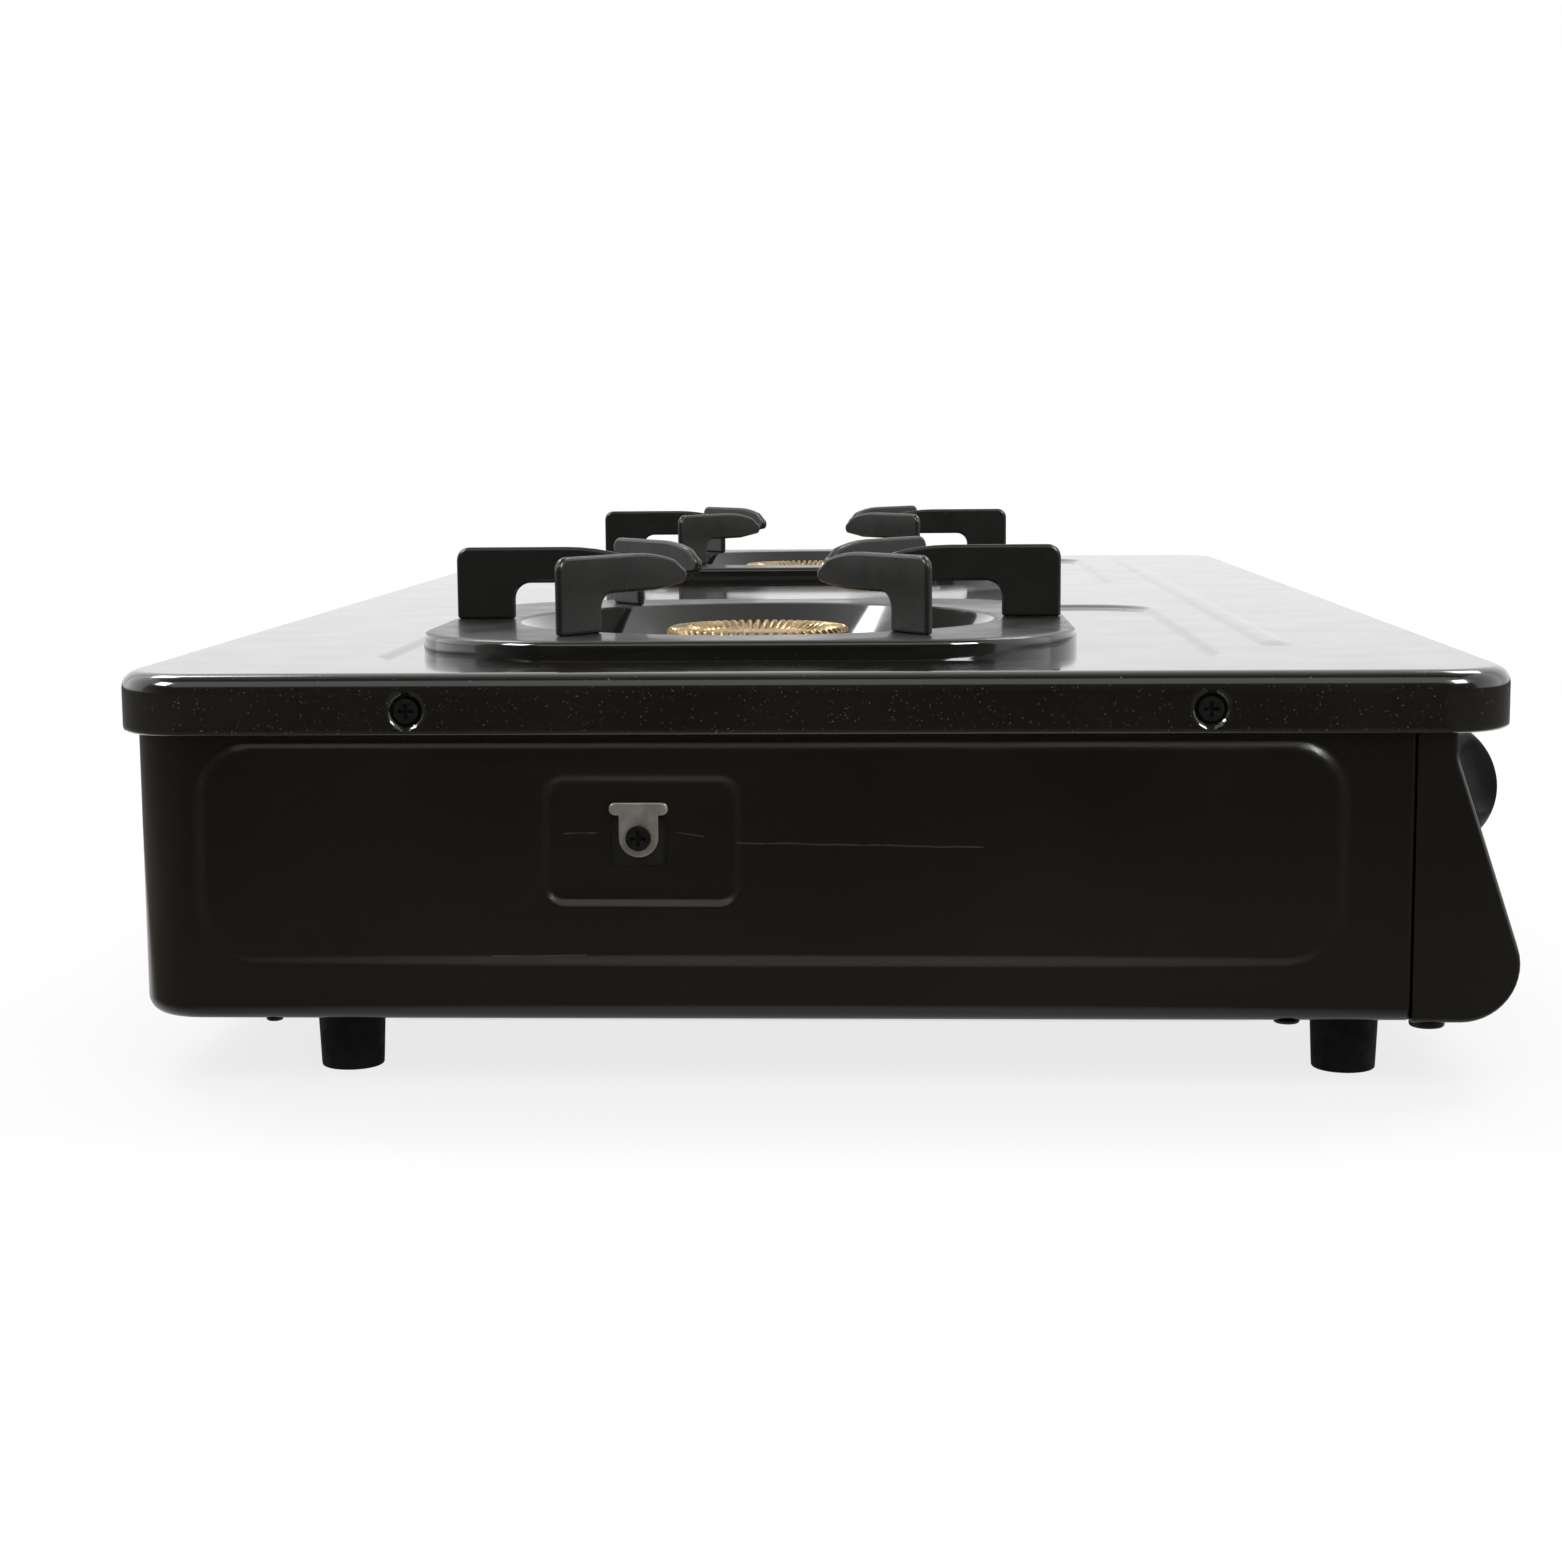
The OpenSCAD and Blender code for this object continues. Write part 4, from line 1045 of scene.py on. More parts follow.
@dataclass(frozen=True)
class FrontPanel:
    """Sloping front with a straight neck, a rounded nose and closed, rounded ends."""

    half_l: float = FACE_X
    back_y: float = SEAM_Y - 0.3
    top: float = TOP - 1.735
    base: float = BASE
    sheet: float = SHEET
    tilt: float = TILT
    neck_y: float = NECK[0]
    neck_z: float = NECK[1]
    neck_rows: Flat = (9.0, 4.0)
    neck_round: float = 4.8
    neck_bend: tuple[float, ...] = (0.25, 0.5, 0.75)
    neck_set: float = 0.12
    face_drops: Flat = (8.0, 16.0)
    nose: float = 15.7
    end_round: float = 1.8
    knob_x: float = BURNER[0]
    knob_z: float = KNOB_Z
    below_knob: float = 14.0
    hole_half: float = 5.0

    @property
    def nose_middle(self) -> Flat:
        """Middle of the rounded nose, which the sloping face runs into."""
        lean, level = math.radians(self.tilt), self.base + self.nose
        reach = self.nose + math.sin(lean) * (level - self.neck_z)
        return self.neck_y + reach / math.cos(lean), level

    def section(self) -> tuple[list[Flat], int]:
        """Outline from the top of the neck to the back of the bottom.

        Returns:
            The points, and the row where the spindle's hole starts.
        """
        lean = math.tan(math.radians(self.tilt))
        points = [(self.neck_y, self.top)]
        points += [(self.neck_y, self.neck_z + rise) for rise in self.neck_rows]
        for step in self.neck_bend:
            drop = self.neck_round * (2 * step - 1)
            lead = max(drop, 0.0) * lean * step + self.neck_set
            points.append((self.neck_y - lead, self.neck_z - drop))
        hole_row = len(points) + len(self.face_drops)
        gap = self.hole_half * math.cos(math.radians(self.tilt))
        levels = [self.neck_z - drop for drop in self.face_drops]
        levels += [self.knob_z + gap, self.knob_z - gap, self.knob_z - self.below_knob]
        points += [(self.neck_y - (self.neck_z - z) * lean, z) for z in levels]
        points += arc(self.nose_middle, self.nose, 180.0 - self.tilt, 270.0, 14)
        points.append((self.back_y, self.base))
        return points, hole_row

    def build(self) -> None:
        """Makes the panel."""
        points, hole_row = self.section()
        normals = []
        for i in range(len(points)):
            (ay, az), (by, bz) = points[max(i - 1, 0)], points[min(i + 1, len(points) - 1)]
            run = math.hypot(by - ay, bz - az)
            normals.append(((bz - az) / run, (ay - by) / run))
        ends = arc((self.half_l - self.end_round, self.end_round), self.end_round, 0.0, -90.0, 6)
        inner = [s * (self.knob_x + k) for s in (-1, 1) for k in (-self.hole_half, self.hole_half)]
        columns = [(-x, inset) for x, inset in ends]
        columns += [(x, 0.0) for x in sorted(inner)]
        columns += reversed(ends)
        rows = []
        for (y, z), (ny, nz) in zip(points, normals):
            rows.append([(x, y - ny * inset, z - nz * inset) for x, inset in columns])
        left_hole = len(ends)

        def skip(row: int, column: int) -> bool:
            """True at the two holes for the spindles."""
            return row == hole_row and column in (left_hole, left_hole + 2)

        shape = Shape()
        ids = shape.loft(rows, closed=False, skip=skip)
        for column in (0, -1):
            x = rows[0][column][0]
            levels = self.base + self.end_round, self.top
            back = shape.row((x, self.back_y, z) for z in levels)
            shape.cap([row[column] for row in ids] + back)
        shape.make(
            "sloping_front", FRONT_PAINT, nodes=["front_panel"],
            outward=(0, -1, 0), sheet=self.sheet,
        )


@dataclass(frozen=True)
class ClipPlate:
    """T-shaped steel clip on the pad of a side panel."""

    side: Side
    face_x: float = FACE_X
    thickness: float = SHEET
    middle_y: float = TAB_Y
    screw_z: float = TAB_Z
    bar_z: float = TAB_Z + 7.8
    bar_half: Flat = (8.0, 1.7)
    stem_half: float = 5.35

    def build(self) -> None:
        """Makes the clip."""
        bar_x, bar_y = self.bar_half
        low = self.bar_z - bar_y
        outline = arc((0.0, self.screw_z), self.stem_half, 180.0, 360.0, 20)
        outline.append((self.stem_half, low))
        outline += arc((bar_x - bar_y, self.bar_z), bar_y, -90.0, 90.0, 8)
        outline += arc((bar_y - bar_x, self.bar_z), bar_y, 90.0, 270.0, 8)
        outline.append((-self.stem_half, low))
        out = self.side.value * (self.face_x + self.thickness / 2)
        stand = Matrix(((0, 0, 1, out), (1, 0, 0, self.middle_y), (0, 1, 0, 0), (0, 0, 0, 1)))
        shape = plate_from_outline(outline, self.thickness).moved(stand)
        label = self.side.label
        shape.make(f"{label}_tab", DULL_STEEL, nodes=[f"{label}_clip_plate"], soften=0.3)


@dataclass(frozen=True)
class PanSupport:
    """Enamelled pan support: a square plate with a bowl, and six pressed fingers."""

    side: Side
    middle: Flat = BURNER
    half: float = PAN_HALF
    corner: float = 52.0
    foot: float = WELL
    foot_row: float = 1.6
    top: float = WELL + 6.8
    flat_row: float = 6.0
    edge: float = 2.0
    sheet: float = SHEET
    mouth: float = 76.0
    mouth_row: float = 1.0
    mouth_round: float = 2.6
    floor: float = 58.0
    floor_z: float = WELL - 6.6
    floor_round: float = 4.0
    hole: float = 36.0
    hole_row: float = 1.4
    hole_round: float = 1.2
    finger_spread: float = 34.0
    finger_h: float = 22.7
    finger_t: float = 2.6
    finger_out: float = 96.0
    finger_tip: float = 37.0
    leg: float = 18.6
    arm: float = 11.4
    arm_tip: float = 5.0
    arm_share: float = 0.6
    top_round: float = 4.0
    inside_round: float = 5.0
    tip_drop: float = 5.0
    slope: float = 24.0
    slope_share: float = 0.85
    slope_rows: tuple[float, ...] = (0.0, 0.2, 0.4, 0.6, 0.75)

    def squares(self) -> list[Flat]:
        """Square rings of the plate, from its foot to its flat top.

        Returns:
            Inset and height of each.
        """
        rings = [(0.0, self.foot), (0.0, self.foot + self.foot_row)]
        rings += arc((self.edge, self.top - self.edge), self.edge, 180.0, 90.0, 6)
        return [*rings, (self.edge + self.flat_row, self.top)]

    def bowl(self) -> list[Flat]:
        """Round rings of the bowl, from its mouth to the hole in its floor.

        Returns:
            Radius and height of each.
        """
        lean = math.degrees(math.atan2(self.top - self.floor_z, self.mouth - self.floor))
        tangent = math.tan(math.radians(lean / 2))
        outer = self.mouth + self.mouth_round * tangent
        inner = self.floor - self.floor_round * tangent
        rings = [(outer + self.mouth_row, self.top)]
        rings += arc((outer, self.top - self.mouth_round), self.mouth_round, 90.0, 90.0 + lean, 6)
        bend = inner, self.floor_z + self.floor_round
        rings += arc(bend, self.floor_round, lean - 90.0, -90.0, 6)
        rings.append((self.hole + self.hole_row, self.floor_z))
        lip = self.hole + self.hole_round, self.floor_z - self.hole_round
        return rings + arc(lip, self.hole_round, 90.0, 180.0, 4)

    def plate(self) -> None:
        """Makes the plate with its bowl."""
        cx, cy = self.side.value * self.middle[0], self.middle[1]
        stops = tuple(spread(self.corner - self.half, self.half - self.corner, 9))
        loop = RoundLoop(self.half, self.half, self.corner, (0.0, 0.0), stops, stops, 16)
        bearings = [math.atan2(y, x) for x, y in loop.points()]
        rows = [[(cx + x, cy + y, z) for x, y in loop.points(inset)] for inset, z in self.squares()]
        for r, z in self.bowl():
            rows.append([(cx + r * math.cos(a), cy + r * math.sin(a), z) for a in bearings])
        shape = Shape()
        shape.loft(rows)
        label = self.side.label
        shape.make(
            f"{label}_pan_dish", PAN_ENAMEL, nodes=[f"{label}_pan_plate"],
            outward=(0, 0, 1), sheet=self.sheet,
        )

    def outline(self) -> list[Flat]:
        """Outline of a finger.

        Returns:
            Distance from the burner's middle and height over the plate, point by point.
        """
        leg_in, arm_y = self.finger_out - self.leg, self.finger_h - self.arm
        nose = self.arm_tip / 2
        points = [(leg_in, 0.0), (self.finger_out, 0.0)]
        shoulder = self.finger_out - self.top_round, self.finger_h - self.top_round
        points += arc(shoulder, self.top_round, 0.0, 90.0, 8)
        for t in self.slope_rows:
            fall = self.tip_drop * self.slope_share * t * t
            points.append((self.finger_tip + self.slope * (1 - t), self.finger_h - fall))
        tip = self.finger_tip + nose, self.finger_h - self.tip_drop - nose
        points += arc(tip, nose, 100.0, 250.0, 9)
        points.append((self.finger_tip + self.slope * self.arm_share, arm_y))
        core = leg_in - self.inside_round, arm_y - self.inside_round
        return points + arc(core, self.inside_round, 90.0, 0.0, 8)

    def fingers(self) -> None:
        """Makes the six fingers."""
        shape = Shape()
        finger = plate_from_outline(self.outline(), self.finger_t)
        upright = Matrix.Rotation(math.radians(90.0), 4, "X")
        base = Matrix.Translation((self.side.value * self.middle[0], self.middle[1], self.top))
        for bearing in (self.finger_spread, 90.0, 180.0 - self.finger_spread):
            for opposite in (0.0, 180.0):
                turn = Matrix.Rotation(math.radians(bearing + opposite), 4, "Z")
                shape.join(finger.moved(base @ turn @ upright))
        label = self.side.label
        shape.make(f"{label}_pan_rests", FINGER_ENAMEL, nodes=[f"{label}_pan_fingers"], soften=1.0)


@dataclass(frozen=True)
class BurnerCap:
    """Brass cap with slanting flutes round its edge."""

    side: Side
    middle: Flat = BURNER
    seat: float = TOP - 7.0
    height: float = 10.0
    radius: float = 29.0
    edge: float = 2.0
    foot: float = 0.4
    spigot_in: float = 3.2
    spigot_h: float = 3.0
    bore: float = 9.0
    flutes: int = 60
    flute_depth: float = 1.9
    flute_from: float = 1.4
    flute_rows: tuple[float, ...] = (0.5, 1.6, 2.4, 4.0, 5.6, 7.2)
    flute_form: Flat = (0.35, 0.9)
    slant: float = 0.62
    steps: int = 9
    # Distance in from the edge, drop from the top and share of the flutes' depth, along the crown
    crown: tuple[tuple[float, float, float], ...] = (
        (3.4, 0.0, 1.0), (4.8, 0.1, 1.0), (6.2, 0.5, 0.85),
        (7.6, 1.2, 0.6), (9.2, 2.0, 0.25), (10.8, 2.4, 0.0),
    )
    # Distance out from the bore and drop from the top, down into the throat
    throat: tuple[Flat, ...] = ((3.0, 2.6), (1.2, 3.0), (0.0, 3.8))

    def profile(self) -> list[tuple[float, float, float, Flat]]:
        """Profile of the cap, from the seat up and in.

        Returns:
            Radius, height, share of the flutes' depth and outward direction of each point.
        """
        h, r, spigot = self.height, self.radius, self.radius - self.spigot_in
        out, up = (1.0, 0.0), (0.0, 1.0)
        points = [(spigot, -self.spigot_h, 0.0, out), (spigot, 0.0, 0.0, out)]
        points.append((r - self.foot, 0.0, 0.0, out))
        for z in self.flute_rows:
            points.append((r, z, eased((z - self.flute_from) / self.flute_from), out))
        core_r, core_z = r - self.edge, h - self.edge
        for x, z in arc((core_r, core_z), self.edge, 10.0, 90.0, 5):
            points.append((x, z, 1.0, ((x - core_r) / self.edge, (z - core_z) / self.edge)))
        points += [(r - back, h - drop, share, up) for back, drop, share in self.crown]
        points += [(self.bore + wide, h - drop, 0.0, up) for wide, drop in self.throat]
        return [*points, (self.bore, -self.spigot_h, 0.0, up)]

    def build(self) -> None:
        """Makes the cap."""
        ring = circle(self.flutes * self.steps)
        lead, width = self.flute_form
        cx, cy = self.side.value * self.middle[0], self.middle[1]
        rows = []
        for r, z, share, (out, up) in self.profile():
            row = []
            for a in ring:
                phase = (a + self.slant * z / self.radius) * self.flutes
                cut = self.flute_depth * share * eased((math.cos(phase) + lead) / width)
                reach = r - out * cut
                level = self.seat + z - up * cut
                row.append((cx + reach * math.cos(a), cy + reach * math.sin(a), level))
            rows.append(row)
        rows.append(rows[0])
        shape = Shape()
        shape.loft(rows)
        label = self.side.label
        shape.make(f"{label}_brass_cap", BRASS, nodes=[f"{label}_burner_cap"])


@dataclass(frozen=True)
class Knob:
    """Push-and-turn knob with a grip bar between two finger scoops, and a pointer line."""

    side: Side
    place: Solid = (BURNER[0], KNOB_Y, KNOB_Z)
    tilt: float = TILT
    lift: float = 5.0
    radius: float = 21.0
    height: float = 26.0
    rounding: float = 20.5
    # Distance in from the edge, and height, of the points at the knob's foot
    foot: tuple[Flat, ...] = ((1.0, 0.0), (0.3, 0.25), (0.0, 1.0), (0.0, 2.4), (0.0, 3.8))
    bar_half: float = 4.6
    scoop: float = 15.0
    scoop_from: float = 6.0
    scoop_rise: float = 3.0
    scoop_lead: float = 2.2
    scoop_end: float = 15.0
    scoop_fade: float = 7.0
    wall: float = 3.0
    hollow: float = 0.4
    hub: float = 8.0
    bore: float = 4.05
    crown_t: float = 6.0
    steps: int = 96
    pointer_half: float = 0.8
    pointer_taper: float = 0.4
    pointer_y: Flat = (3.2, 11.6)
    pointer_z: Flat = (-0.3, 0.05)

    @property
    def body(self) -> Body:
        """The body that turns with this knob."""
        return Body[f"{self.side.name}_KNOB"]

    @property
    def where(self) -> Matrix:
        """Local frame on the panel's face, with Z out along the spindle."""
        x, y, z = self.place
        face = Matrix.Translation((self.side.value * x, y, z))
        turn = Matrix.Rotation(math.radians(90.0 - self.tilt), 4, "X")
        return face @ turn @ Matrix.Translation((0, 0, self.lift))

    def crown(self, radius: float) -> float:
        """Height of the rounded end at a distance from the spindle's line."""
        off = max(radius - self.radius + self.rounding, 0.0)
        return self.height - self.rounding + math.sqrt(self.rounding**2 - off**2)

    def pressed(self, x: float, y: float, z: float) -> float:
        """Height of a point of the knob's outside, with the scoops pressed in.

        Args:
            x: Distance across the grip bar.
            y: Distance along it.
            z: Height before pressing.

        Returns:
            The height.
        """
        off = abs(x) - self.bar_half
        if off <= 0 or z < self.scoop_from:
            return z
        across = min(off, self.scoop) - self.scoop
        floor = self.height + self.scoop_rise - math.sqrt(max(self.scoop**2 - across**2, 0.0))
        share = eased((self.scoop_end - abs(y)) / self.scoop_fade) * eased(off / self.scoop_lead)
        return z + (min(z, floor) - z) * share

    def build(self) -> None:
        """Makes the knob and its pointer."""
        r, h, k = self.radius, self.height, self.rounding
        outside = [(r - inset, z) for inset, z in self.foot]
        outside += arc((r - k, h - k), k, 0.0, 90.0, 30)
        outside.append((0.0, h))
        end, wall, deep = h - self.crown_t, r - self.wall, h * self.hollow
        inside = [(0.0, end), (self.bore, end), (self.bore, 0.0), (self.hub, 0.0)]
        inside += [(self.hub, deep), (wall, deep), (wall, 0.0)]
        rows = []
        for i, (radius, z) in enumerate([*outside[::-1], *inside[::-1]]):
            row = []
            for a in circle(self.steps):
                x, y = radius * math.cos(a), radius * math.sin(a)
                level = self.pressed(x, y, z) if i < len(outside) else z
                row.append(tuple(self.where @ Vector((x, y, level))))
            rows.append(row)
        shape = Shape()
        shape.loft(rows)
        label = self.side.label
        shape.make(f"{label}_tap_knob", PLASTIC, self.body, [f"{label}_knob"], sharp=50.0)
        self.pointer()

    def pointer(self) -> None:
        """Makes the pointer line, laid over the rounded end of the grip bar."""
        first, last = self.pointer_y
        rows = []
        for y in (first, *spread(first, last, 11), last):
            half = self.pointer_half * (self.pointer_taper if y in self.pointer_y else 1.0)
            low, high = (self.crown(y) + z for z in self.pointer_z)
            corners = ((half, low), (half, high), (-half, high), (-half, low))
            rows.append([tuple(self.where @ Vector((x, y, z))) for x, z in corners])
        shape = Shape()
        shape.bar(rows)
        shape.make(f"{self.side.label}_knob_pointer", POINTER_PAINT, self.body, soften=0.12)


@dataclass(frozen=True)
class Foot:
    """Rubber foot with a soft lower edge and a pocket for its screw."""

    node: str
    radius: float = 9.6
    taper: float = 0.8
    taper_rows: tuple[float, ...] = (0.3, 0.6, 0.85)
    top: float = BASE + SHEET
    lip: float = 0.4
    edge: float = 0.6
    pocket: float = 4.6
    pocket_h: float = 12.0
    shank: float = 1.95
    steps: int = 48

    def build(self) -> None:
        """Makes the foot."""
        low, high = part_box(self.node)
        x, y = (low.x + high.x) / 2 / MM, (low.y + high.y) / 2 / MM
        r, top, shank = self.radius, self.top, self.shank
        small = r - self.taper
        profile = [(shank, top), (r - self.lip, top), (r, top - self.lip)]
        profile += [(r - self.taper * t, top * (1 - t)) for t in self.taper_rows]
        profile += arc((small - self.edge, self.edge), self.edge, 0.0, -90.0, 5)
        profile += [(self.pocket + self.lip, 0.0), (self.pocket, self.lip)]
        profile += [(self.pocket, self.pocket_h), (shank, self.pocket_h), (shank, top)]
        shape = Shape()
        shape.lathe(profile, self.steps, Matrix.Translation((x, y - PLATE_Y, 0.0)))
        shape.make(f"{self.node}_rubber", RUBBER, nodes=[self.node])


@dataclass(frozen=True)
class BaseScrews:
    """Pan-head screws under the bent lips of the sides and the ends of the front panel."""

    inset: float = 6.0
    base: float = BASE
    # Place from the front to the back, radius and height of each head
    heads: tuple[tuple[float, float, float], ...] = (
        (148.0, 2.4, 1.0), (-130.0, 3.6, 1.0), (SEAM_Y - 5.4, 4.8, 1.9),
    )
    edge: float = 0.8
    slot: Flat = (0.9, 0.54)
    slot_depth: float = 0.8
    steps: int = 32

    def build(self) -> None:
        """Makes the screws."""
        shape = Shape()
        mouth, floor = self.slot
        for y, radius, height in self.heads:
            crown = self.base - height
            profile = [(0.0, self.base), (radius, self.base), (radius, crown + self.edge)]
            profile += arc((radius - self.edge, crown + self.edge), self.edge, 0.0, -90.0, 5)
            slot_z = crown + self.slot_depth
            profile += [(mouth, crown), (floor, slot_z), (0.0, slot_z)]
            for side in Side:
                where = Matrix.Translation((side.value * (FACE_X - self.inset), y, 0.0))
                shape.lathe(profile, self.steps, where)
        shape.make("base_screws", BLACK_STEEL)


@dataclass(frozen=True)
class Bezel:
    """Thin turned ring on the panel behind a knob."""

    side: Side
    radius: float = 24.0
    thickness: float = 1.5
    foot: float = 0.3
    edge: float = 1.2
    groove_in: float = 4.1
    groove_half: float = 0.6
    groove_depth: float = 0.35
    bore: float = 7.0
    gap: float = 0.05
    steps: int = 96

    def build(self) -> None:
        """Makes the ring."""
        knob = Knob(self.side)
        where = knob.where @ Matrix.Translation((0, 0, self.gap - knob.lift))
        r, t, groove = self.radius, self.thickness, self.radius - self.groove_in
        profile = [(self.bore, 0.0), (r, 0.0), (r, self.foot)]
        profile += arc((r - self.edge, self.foot), self.edge, 0.0, 90.0, 5)
        profile += [(groove + self.groove_half, t), (groove, t - self.groove_depth)]
        profile += [(groove - self.groove_half, t), (self.bore, t), (self.bore, 0.0)]
        shape = Shape()
        shape.lathe(profile, self.steps, where)
        label = self.side.label
        shape.make(f"{label}_knob_ring", BRUSHED_STEEL, nodes=[f"{label}_bezel"])


@dataclass(frozen=True)
class ReturnSpring:
    """Wound spring round a spindle."""

    side: Side
    depth: float = 10.4
    length: float = 5.0
    radius: float = 6.0
    wire: float = 0.55
    turns: float = 3.5
    turn_steps: int = 28
    wire_steps: int = 8
    pushed: float = 0.4

    def build(self) -> None:
        """Makes the spring."""
        knob = Knob(self.side)
        seat = knob.where @ Matrix.Translation((0, 0, -knob.lift - self.depth))
        count = int(self.turns * self.turn_steps)
        rise = self.length - 2 * self.wire
        rows = []
        for i in range(count + 1):
            a = 2 * math.pi * self.turns * i / count
            level = self.wire + rise * i / count
            row = []
            for b in circle(self.wire_steps):
                reach = self.radius + self.wire * math.cos(b)
                z = level + self.wire * math.sin(b)
                row.append(tuple(seat @ Vector((reach * math.cos(a), reach * math.sin(a), z))))
            rows.append(row)
        shape = Shape()
        shape.bar(rows)
        label = self.side.label
        piece = shape.make(f"{label}_push_spring", BRUSHED_STEEL, nodes=[f"{label}_return_spring"])
        anchor = metres(seat.to_translation())
        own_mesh(piece)


@dataclass(frozen=True)
class Lamp:
    """Soft lamp panel, with its place and size in metres and its power in watts.

    It may be kept from showing in glossy surfaces (mirrored) or from lighting matt ones (lights).
    """

    name: str
    place: Solid
    size: Flat
    power: float
    mirrored: bool = True
    lights: bool = True

    def hang(self, aim: Solid) -> None:
        """Hangs the lamp.

        Args:
            aim: The point that it faces.
        """
        data = bpy.data.lights.new(self.name, "AREA")
        data.shape = "RECTANGLE"
        data.size, data.size_y = self.size
        data.energy = self.power
        lamp = bpy.data.objects.new(self.name, data)
        lamp.location = self.place
        way = Vector(aim) - Vector(self.place)
        lamp.rotation_euler = way.to_track_quat("-Z", "Y").to_euler()
        lamp.visible_glossy = self.mirrored
        lamp.visible_diffuse = self.lights
        bpy.context.scene.collection.objects.link(lamp)


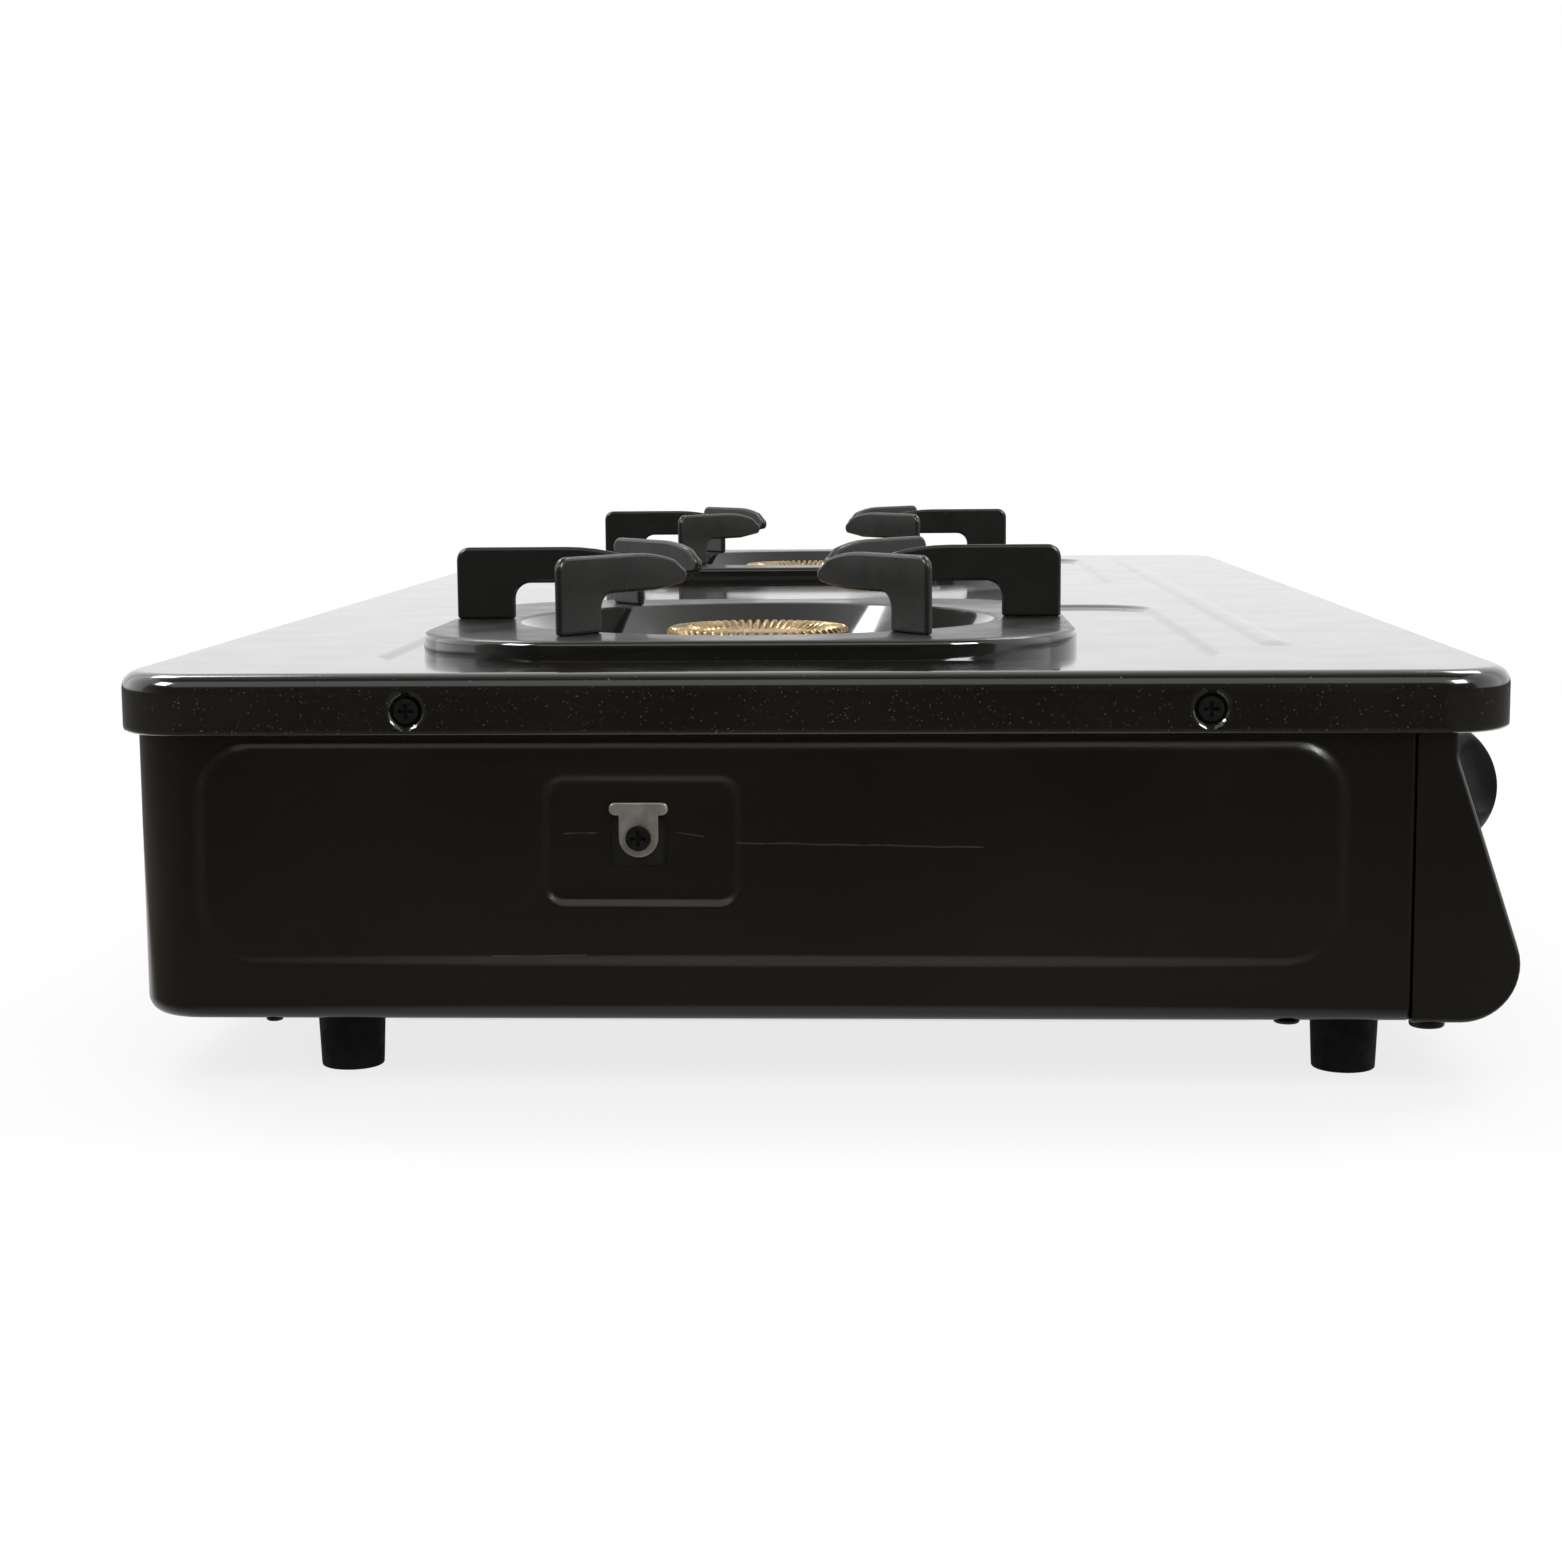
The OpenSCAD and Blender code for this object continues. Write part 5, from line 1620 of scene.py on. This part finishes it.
@dataclass(frozen=True)
class Studio:
    """Pale floor, white surroundings, soft lamps and the camera."""

    eye: Solid = (-1039.9, -24.87, 175.02)
    pitch: float = 7.352
    yaw: float = 2.621
    roll: float = -0.443
    lens: float = 60.04
    sensor: float = 36.0
    clip: Flat = (0.01, 50.0)
    floor_half: float = 6.0
    floor_tone: Colour = (0.82, 0.82, 0.82)
    floor_mid: Colour = (0.13, 0.112, 0.092)
    floor_far: Colour = (0.035, 0.030, 0.024)
    floor_glow: float = 0.8
    glow_reach: Flat = (0.45, 0.95)
    near_reach: Flat = (0.365, 0.42)
    near_glow: float = 0.4
    far_reach: Flat = (0.5, 1.0)
    side_reach: Flat = (0.32, 0.55)
    side_share: float = 0.08
    under_x: Flat = (0.25, 0.266)
    under_y: Flat = (0.105, 0.135)
    white: Colour = (1.0, 1.0, 1.0)
    plain: Colour = (0.55, 0.55, 0.55)
    dim: Colour = (0.060, 0.050, 0.038)
    sky_lean: float = 0.6
    sky_fade: Flat = (-0.9, 0.5)
    aim: Solid = (0.0, 0.0, 0.1)
    lamps: tuple[Lamp, ...] = (
        Lamp("top_lamp", (0.6, 0.0, 1.9), (1.4, 1.4), 14.0, mirrored=False),
        Lamp("back_bowl_lamp", (0.42, 0.8, 1.4), (0.5, 0.5), 8.0),
        Lamp("front_bowl_lamp", (0.42, -0.8, 1.4), (0.5, 0.5), 8.0),
        Lamp("window_lamp", (-1.42, 0.0, 1.62), (2.4, 1.2), 8.6),
        Lamp("front_glint_lamp", (-1.15, -0.9, 0.95), (0.4, 0.4), 16.0, lights=False),
        Lamp("back_glint_lamp", (-0.85, 1.05, 1.15), (0.4, 0.4), 16.0, lights=False),
        Lamp("front_lamp", (-0.3, -2.0, 1.1), (2.2, 2.2), 10.0),
        Lamp("back_lamp", (0.3, 2.1, 1.2), (2.2, 2.2), 10.0),
    )

    def camera(self) -> None:
        """Sets the camera where the photograph was taken."""
        data = bpy.data.cameras.new("camera")
        data.lens = self.lens
        data.sensor_width = self.sensor
        data.clip_start, data.clip_end = self.clip
        camera = bpy.data.objects.new("camera", data)
        camera.location = metres(self.eye)
        aim = Matrix.Identity(4)
        for angle, axis in ((self.yaw - 90.0, "Z"), (90.0 - self.pitch, "X"), (self.roll, "Z")):
            aim = aim @ Matrix.Rotation(math.radians(angle), 4, axis)
        camera.rotation_euler = aim.to_euler()
        bpy.context.scene.collection.objects.link(camera)
        bpy.context.scene.camera = camera

    def world(self) -> None:
        """White surroundings for the eye, dimmer behind the camera for reflections."""
        world = bpy.data.worlds.new("surroundings")
        world.use_nodes = True
        bpy.context.scene.world = world
        graph = Graph(world.node_tree)
        seen = graph.ray("Is Camera Ray").math("MAXIMUM", graph.ray("Is Transmission Ray"))
        ahead, _, up = graph.axes(graph.add("ShaderNodeTexCoord", output="Generated"))
        bright = (ahead - up * self.sky_lean).fade(*self.sky_fade)
        mirrored = graph.mix(bright, self.dim, self.white)
        unseen = graph.mix(graph.ray("Is Glossy Ray"), self.plain, mirrored)
        shade = graph.mix(seen, unseen, self.white)
        light = graph.add("ShaderNodeBackground", sockets={"Color": shade, "Strength": 1.0})
        graph.add("ShaderNodeOutputWorld", sockets={"Surface": light})

    def floor_material(self) -> bpy.types.Material:
        """Floor that is white to the eye, darker in reflections and still takes the shadow.

        Returns:
            The material.
        """
        material = bpy.data.materials.new("pale_floor")
        material.use_nodes = True
        graph = Graph(material.node_tree)
        pale, middle, far = (
            graph.add("ShaderNodeBsdfDiffuse", sockets={"Color": (*tone, 1.0)})
            for tone in (self.floor_tone, self.floor_mid, self.floor_far)
        )
        spot = graph.place()
        x, y, _ = graph.axes(spot)
        along, aside = x.math("ABSOLUTE"), y.math("ABSOLUTE")
        away = graph.add("ShaderNodeVectorMath", {"operation": "LENGTH"}, {0: spot}, "Value")
        glossy = graph.ray("Is Glossy Ray")
        beyond = away.fade(*self.near_reach)
        toned = glossy * beyond * (1 - aside.fade(*self.side_reach) * self.side_share)
        distant = away.fade(*self.far_reach)
        dark = graph.add("ShaderNodeMixShader", sockets={0: distant, 1: middle, 2: far})
        matt = graph.add("ShaderNodeMixShader", sockets={0: toned, 1: pale, 2: dark})
        white = (*self.white, 1.0)
        glow = graph.add("ShaderNodeEmission", sockets={"Color": white, "Strength": 1.0})
        bare = along.fade(*self.under_x).math("MAXIMUM", aside.fade(*self.under_y))
        share = away.fade(*self.glow_reach).between(self.floor_glow, 1.0)
        seen = (graph.ray("Is Camera Ray") * share + glossy * (1 - beyond) * self.near_glow) * bare
        both = graph.add("ShaderNodeMixShader", sockets={0: seen, 1: matt, 2: glow})
        graph.add("ShaderNodeOutputMaterial", sockets={"Surface": both})
        return material

    def floor(self) -> None:
        """Lays the floor."""
        half = self.floor_half
        corners = [(-half, -half, 0), (half, -half, 0), (half, half, 0), (-half, half, 0)]
        mesh = bpy.data.meshes.new("floor")
        mesh.from_pydata(corners, [], [(0, 1, 2, 3)])
        mesh.materials.append(self.floor_material())
        floor = bpy.data.objects.new("floor", mesh)
        bpy.context.scene.collection.objects.link(floor)

    def build(self) -> None:
        """Sets up the studio."""
        self.camera()
        self.world()
        self.floor()
        for lamp in self.lamps:
            lamp.hang(self.aim)


def dress_nodes() -> None:
    """Gives its finish to every CAD node that still shows."""
    for name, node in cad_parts.items():
        kind = name.removeprefix("left_").removeprefix("right_")
        if kind in NODE_FINISHES:
            node.data.materials.clear()
            node.data.materials.append(NODE_FINISHES[kind].make())
            LOG.info("%s: %s", name, NODE_FINISHES[kind].name)


def main() -> None:
    """Builds the studio and every piece in order."""
    logging.basicConfig(level=logging.INFO, format="%(name)s: %(message)s")
    bpy.context.scene.view_settings.view_transform = "Standard"
    Studio().build()
    dress_nodes()
    TopPlate().build()
    FrontPanel().build()
    for side in Side:
        SidePanel(side).build()
        ClipPlate(side).build()
        support = PanSupport(side)
        support.plate()
        support.fingers()
        BurnerCap(side).build()
        Knob(side).build()
        Bezel(side).build()
        ReturnSpring(side).build()
    BaseScrews().build()
    for end in ("front", "rear"):
        for side in Side:
            Foot(f"{end}_{side.label}_foot").build()


if __name__ == "__main__":
    main()
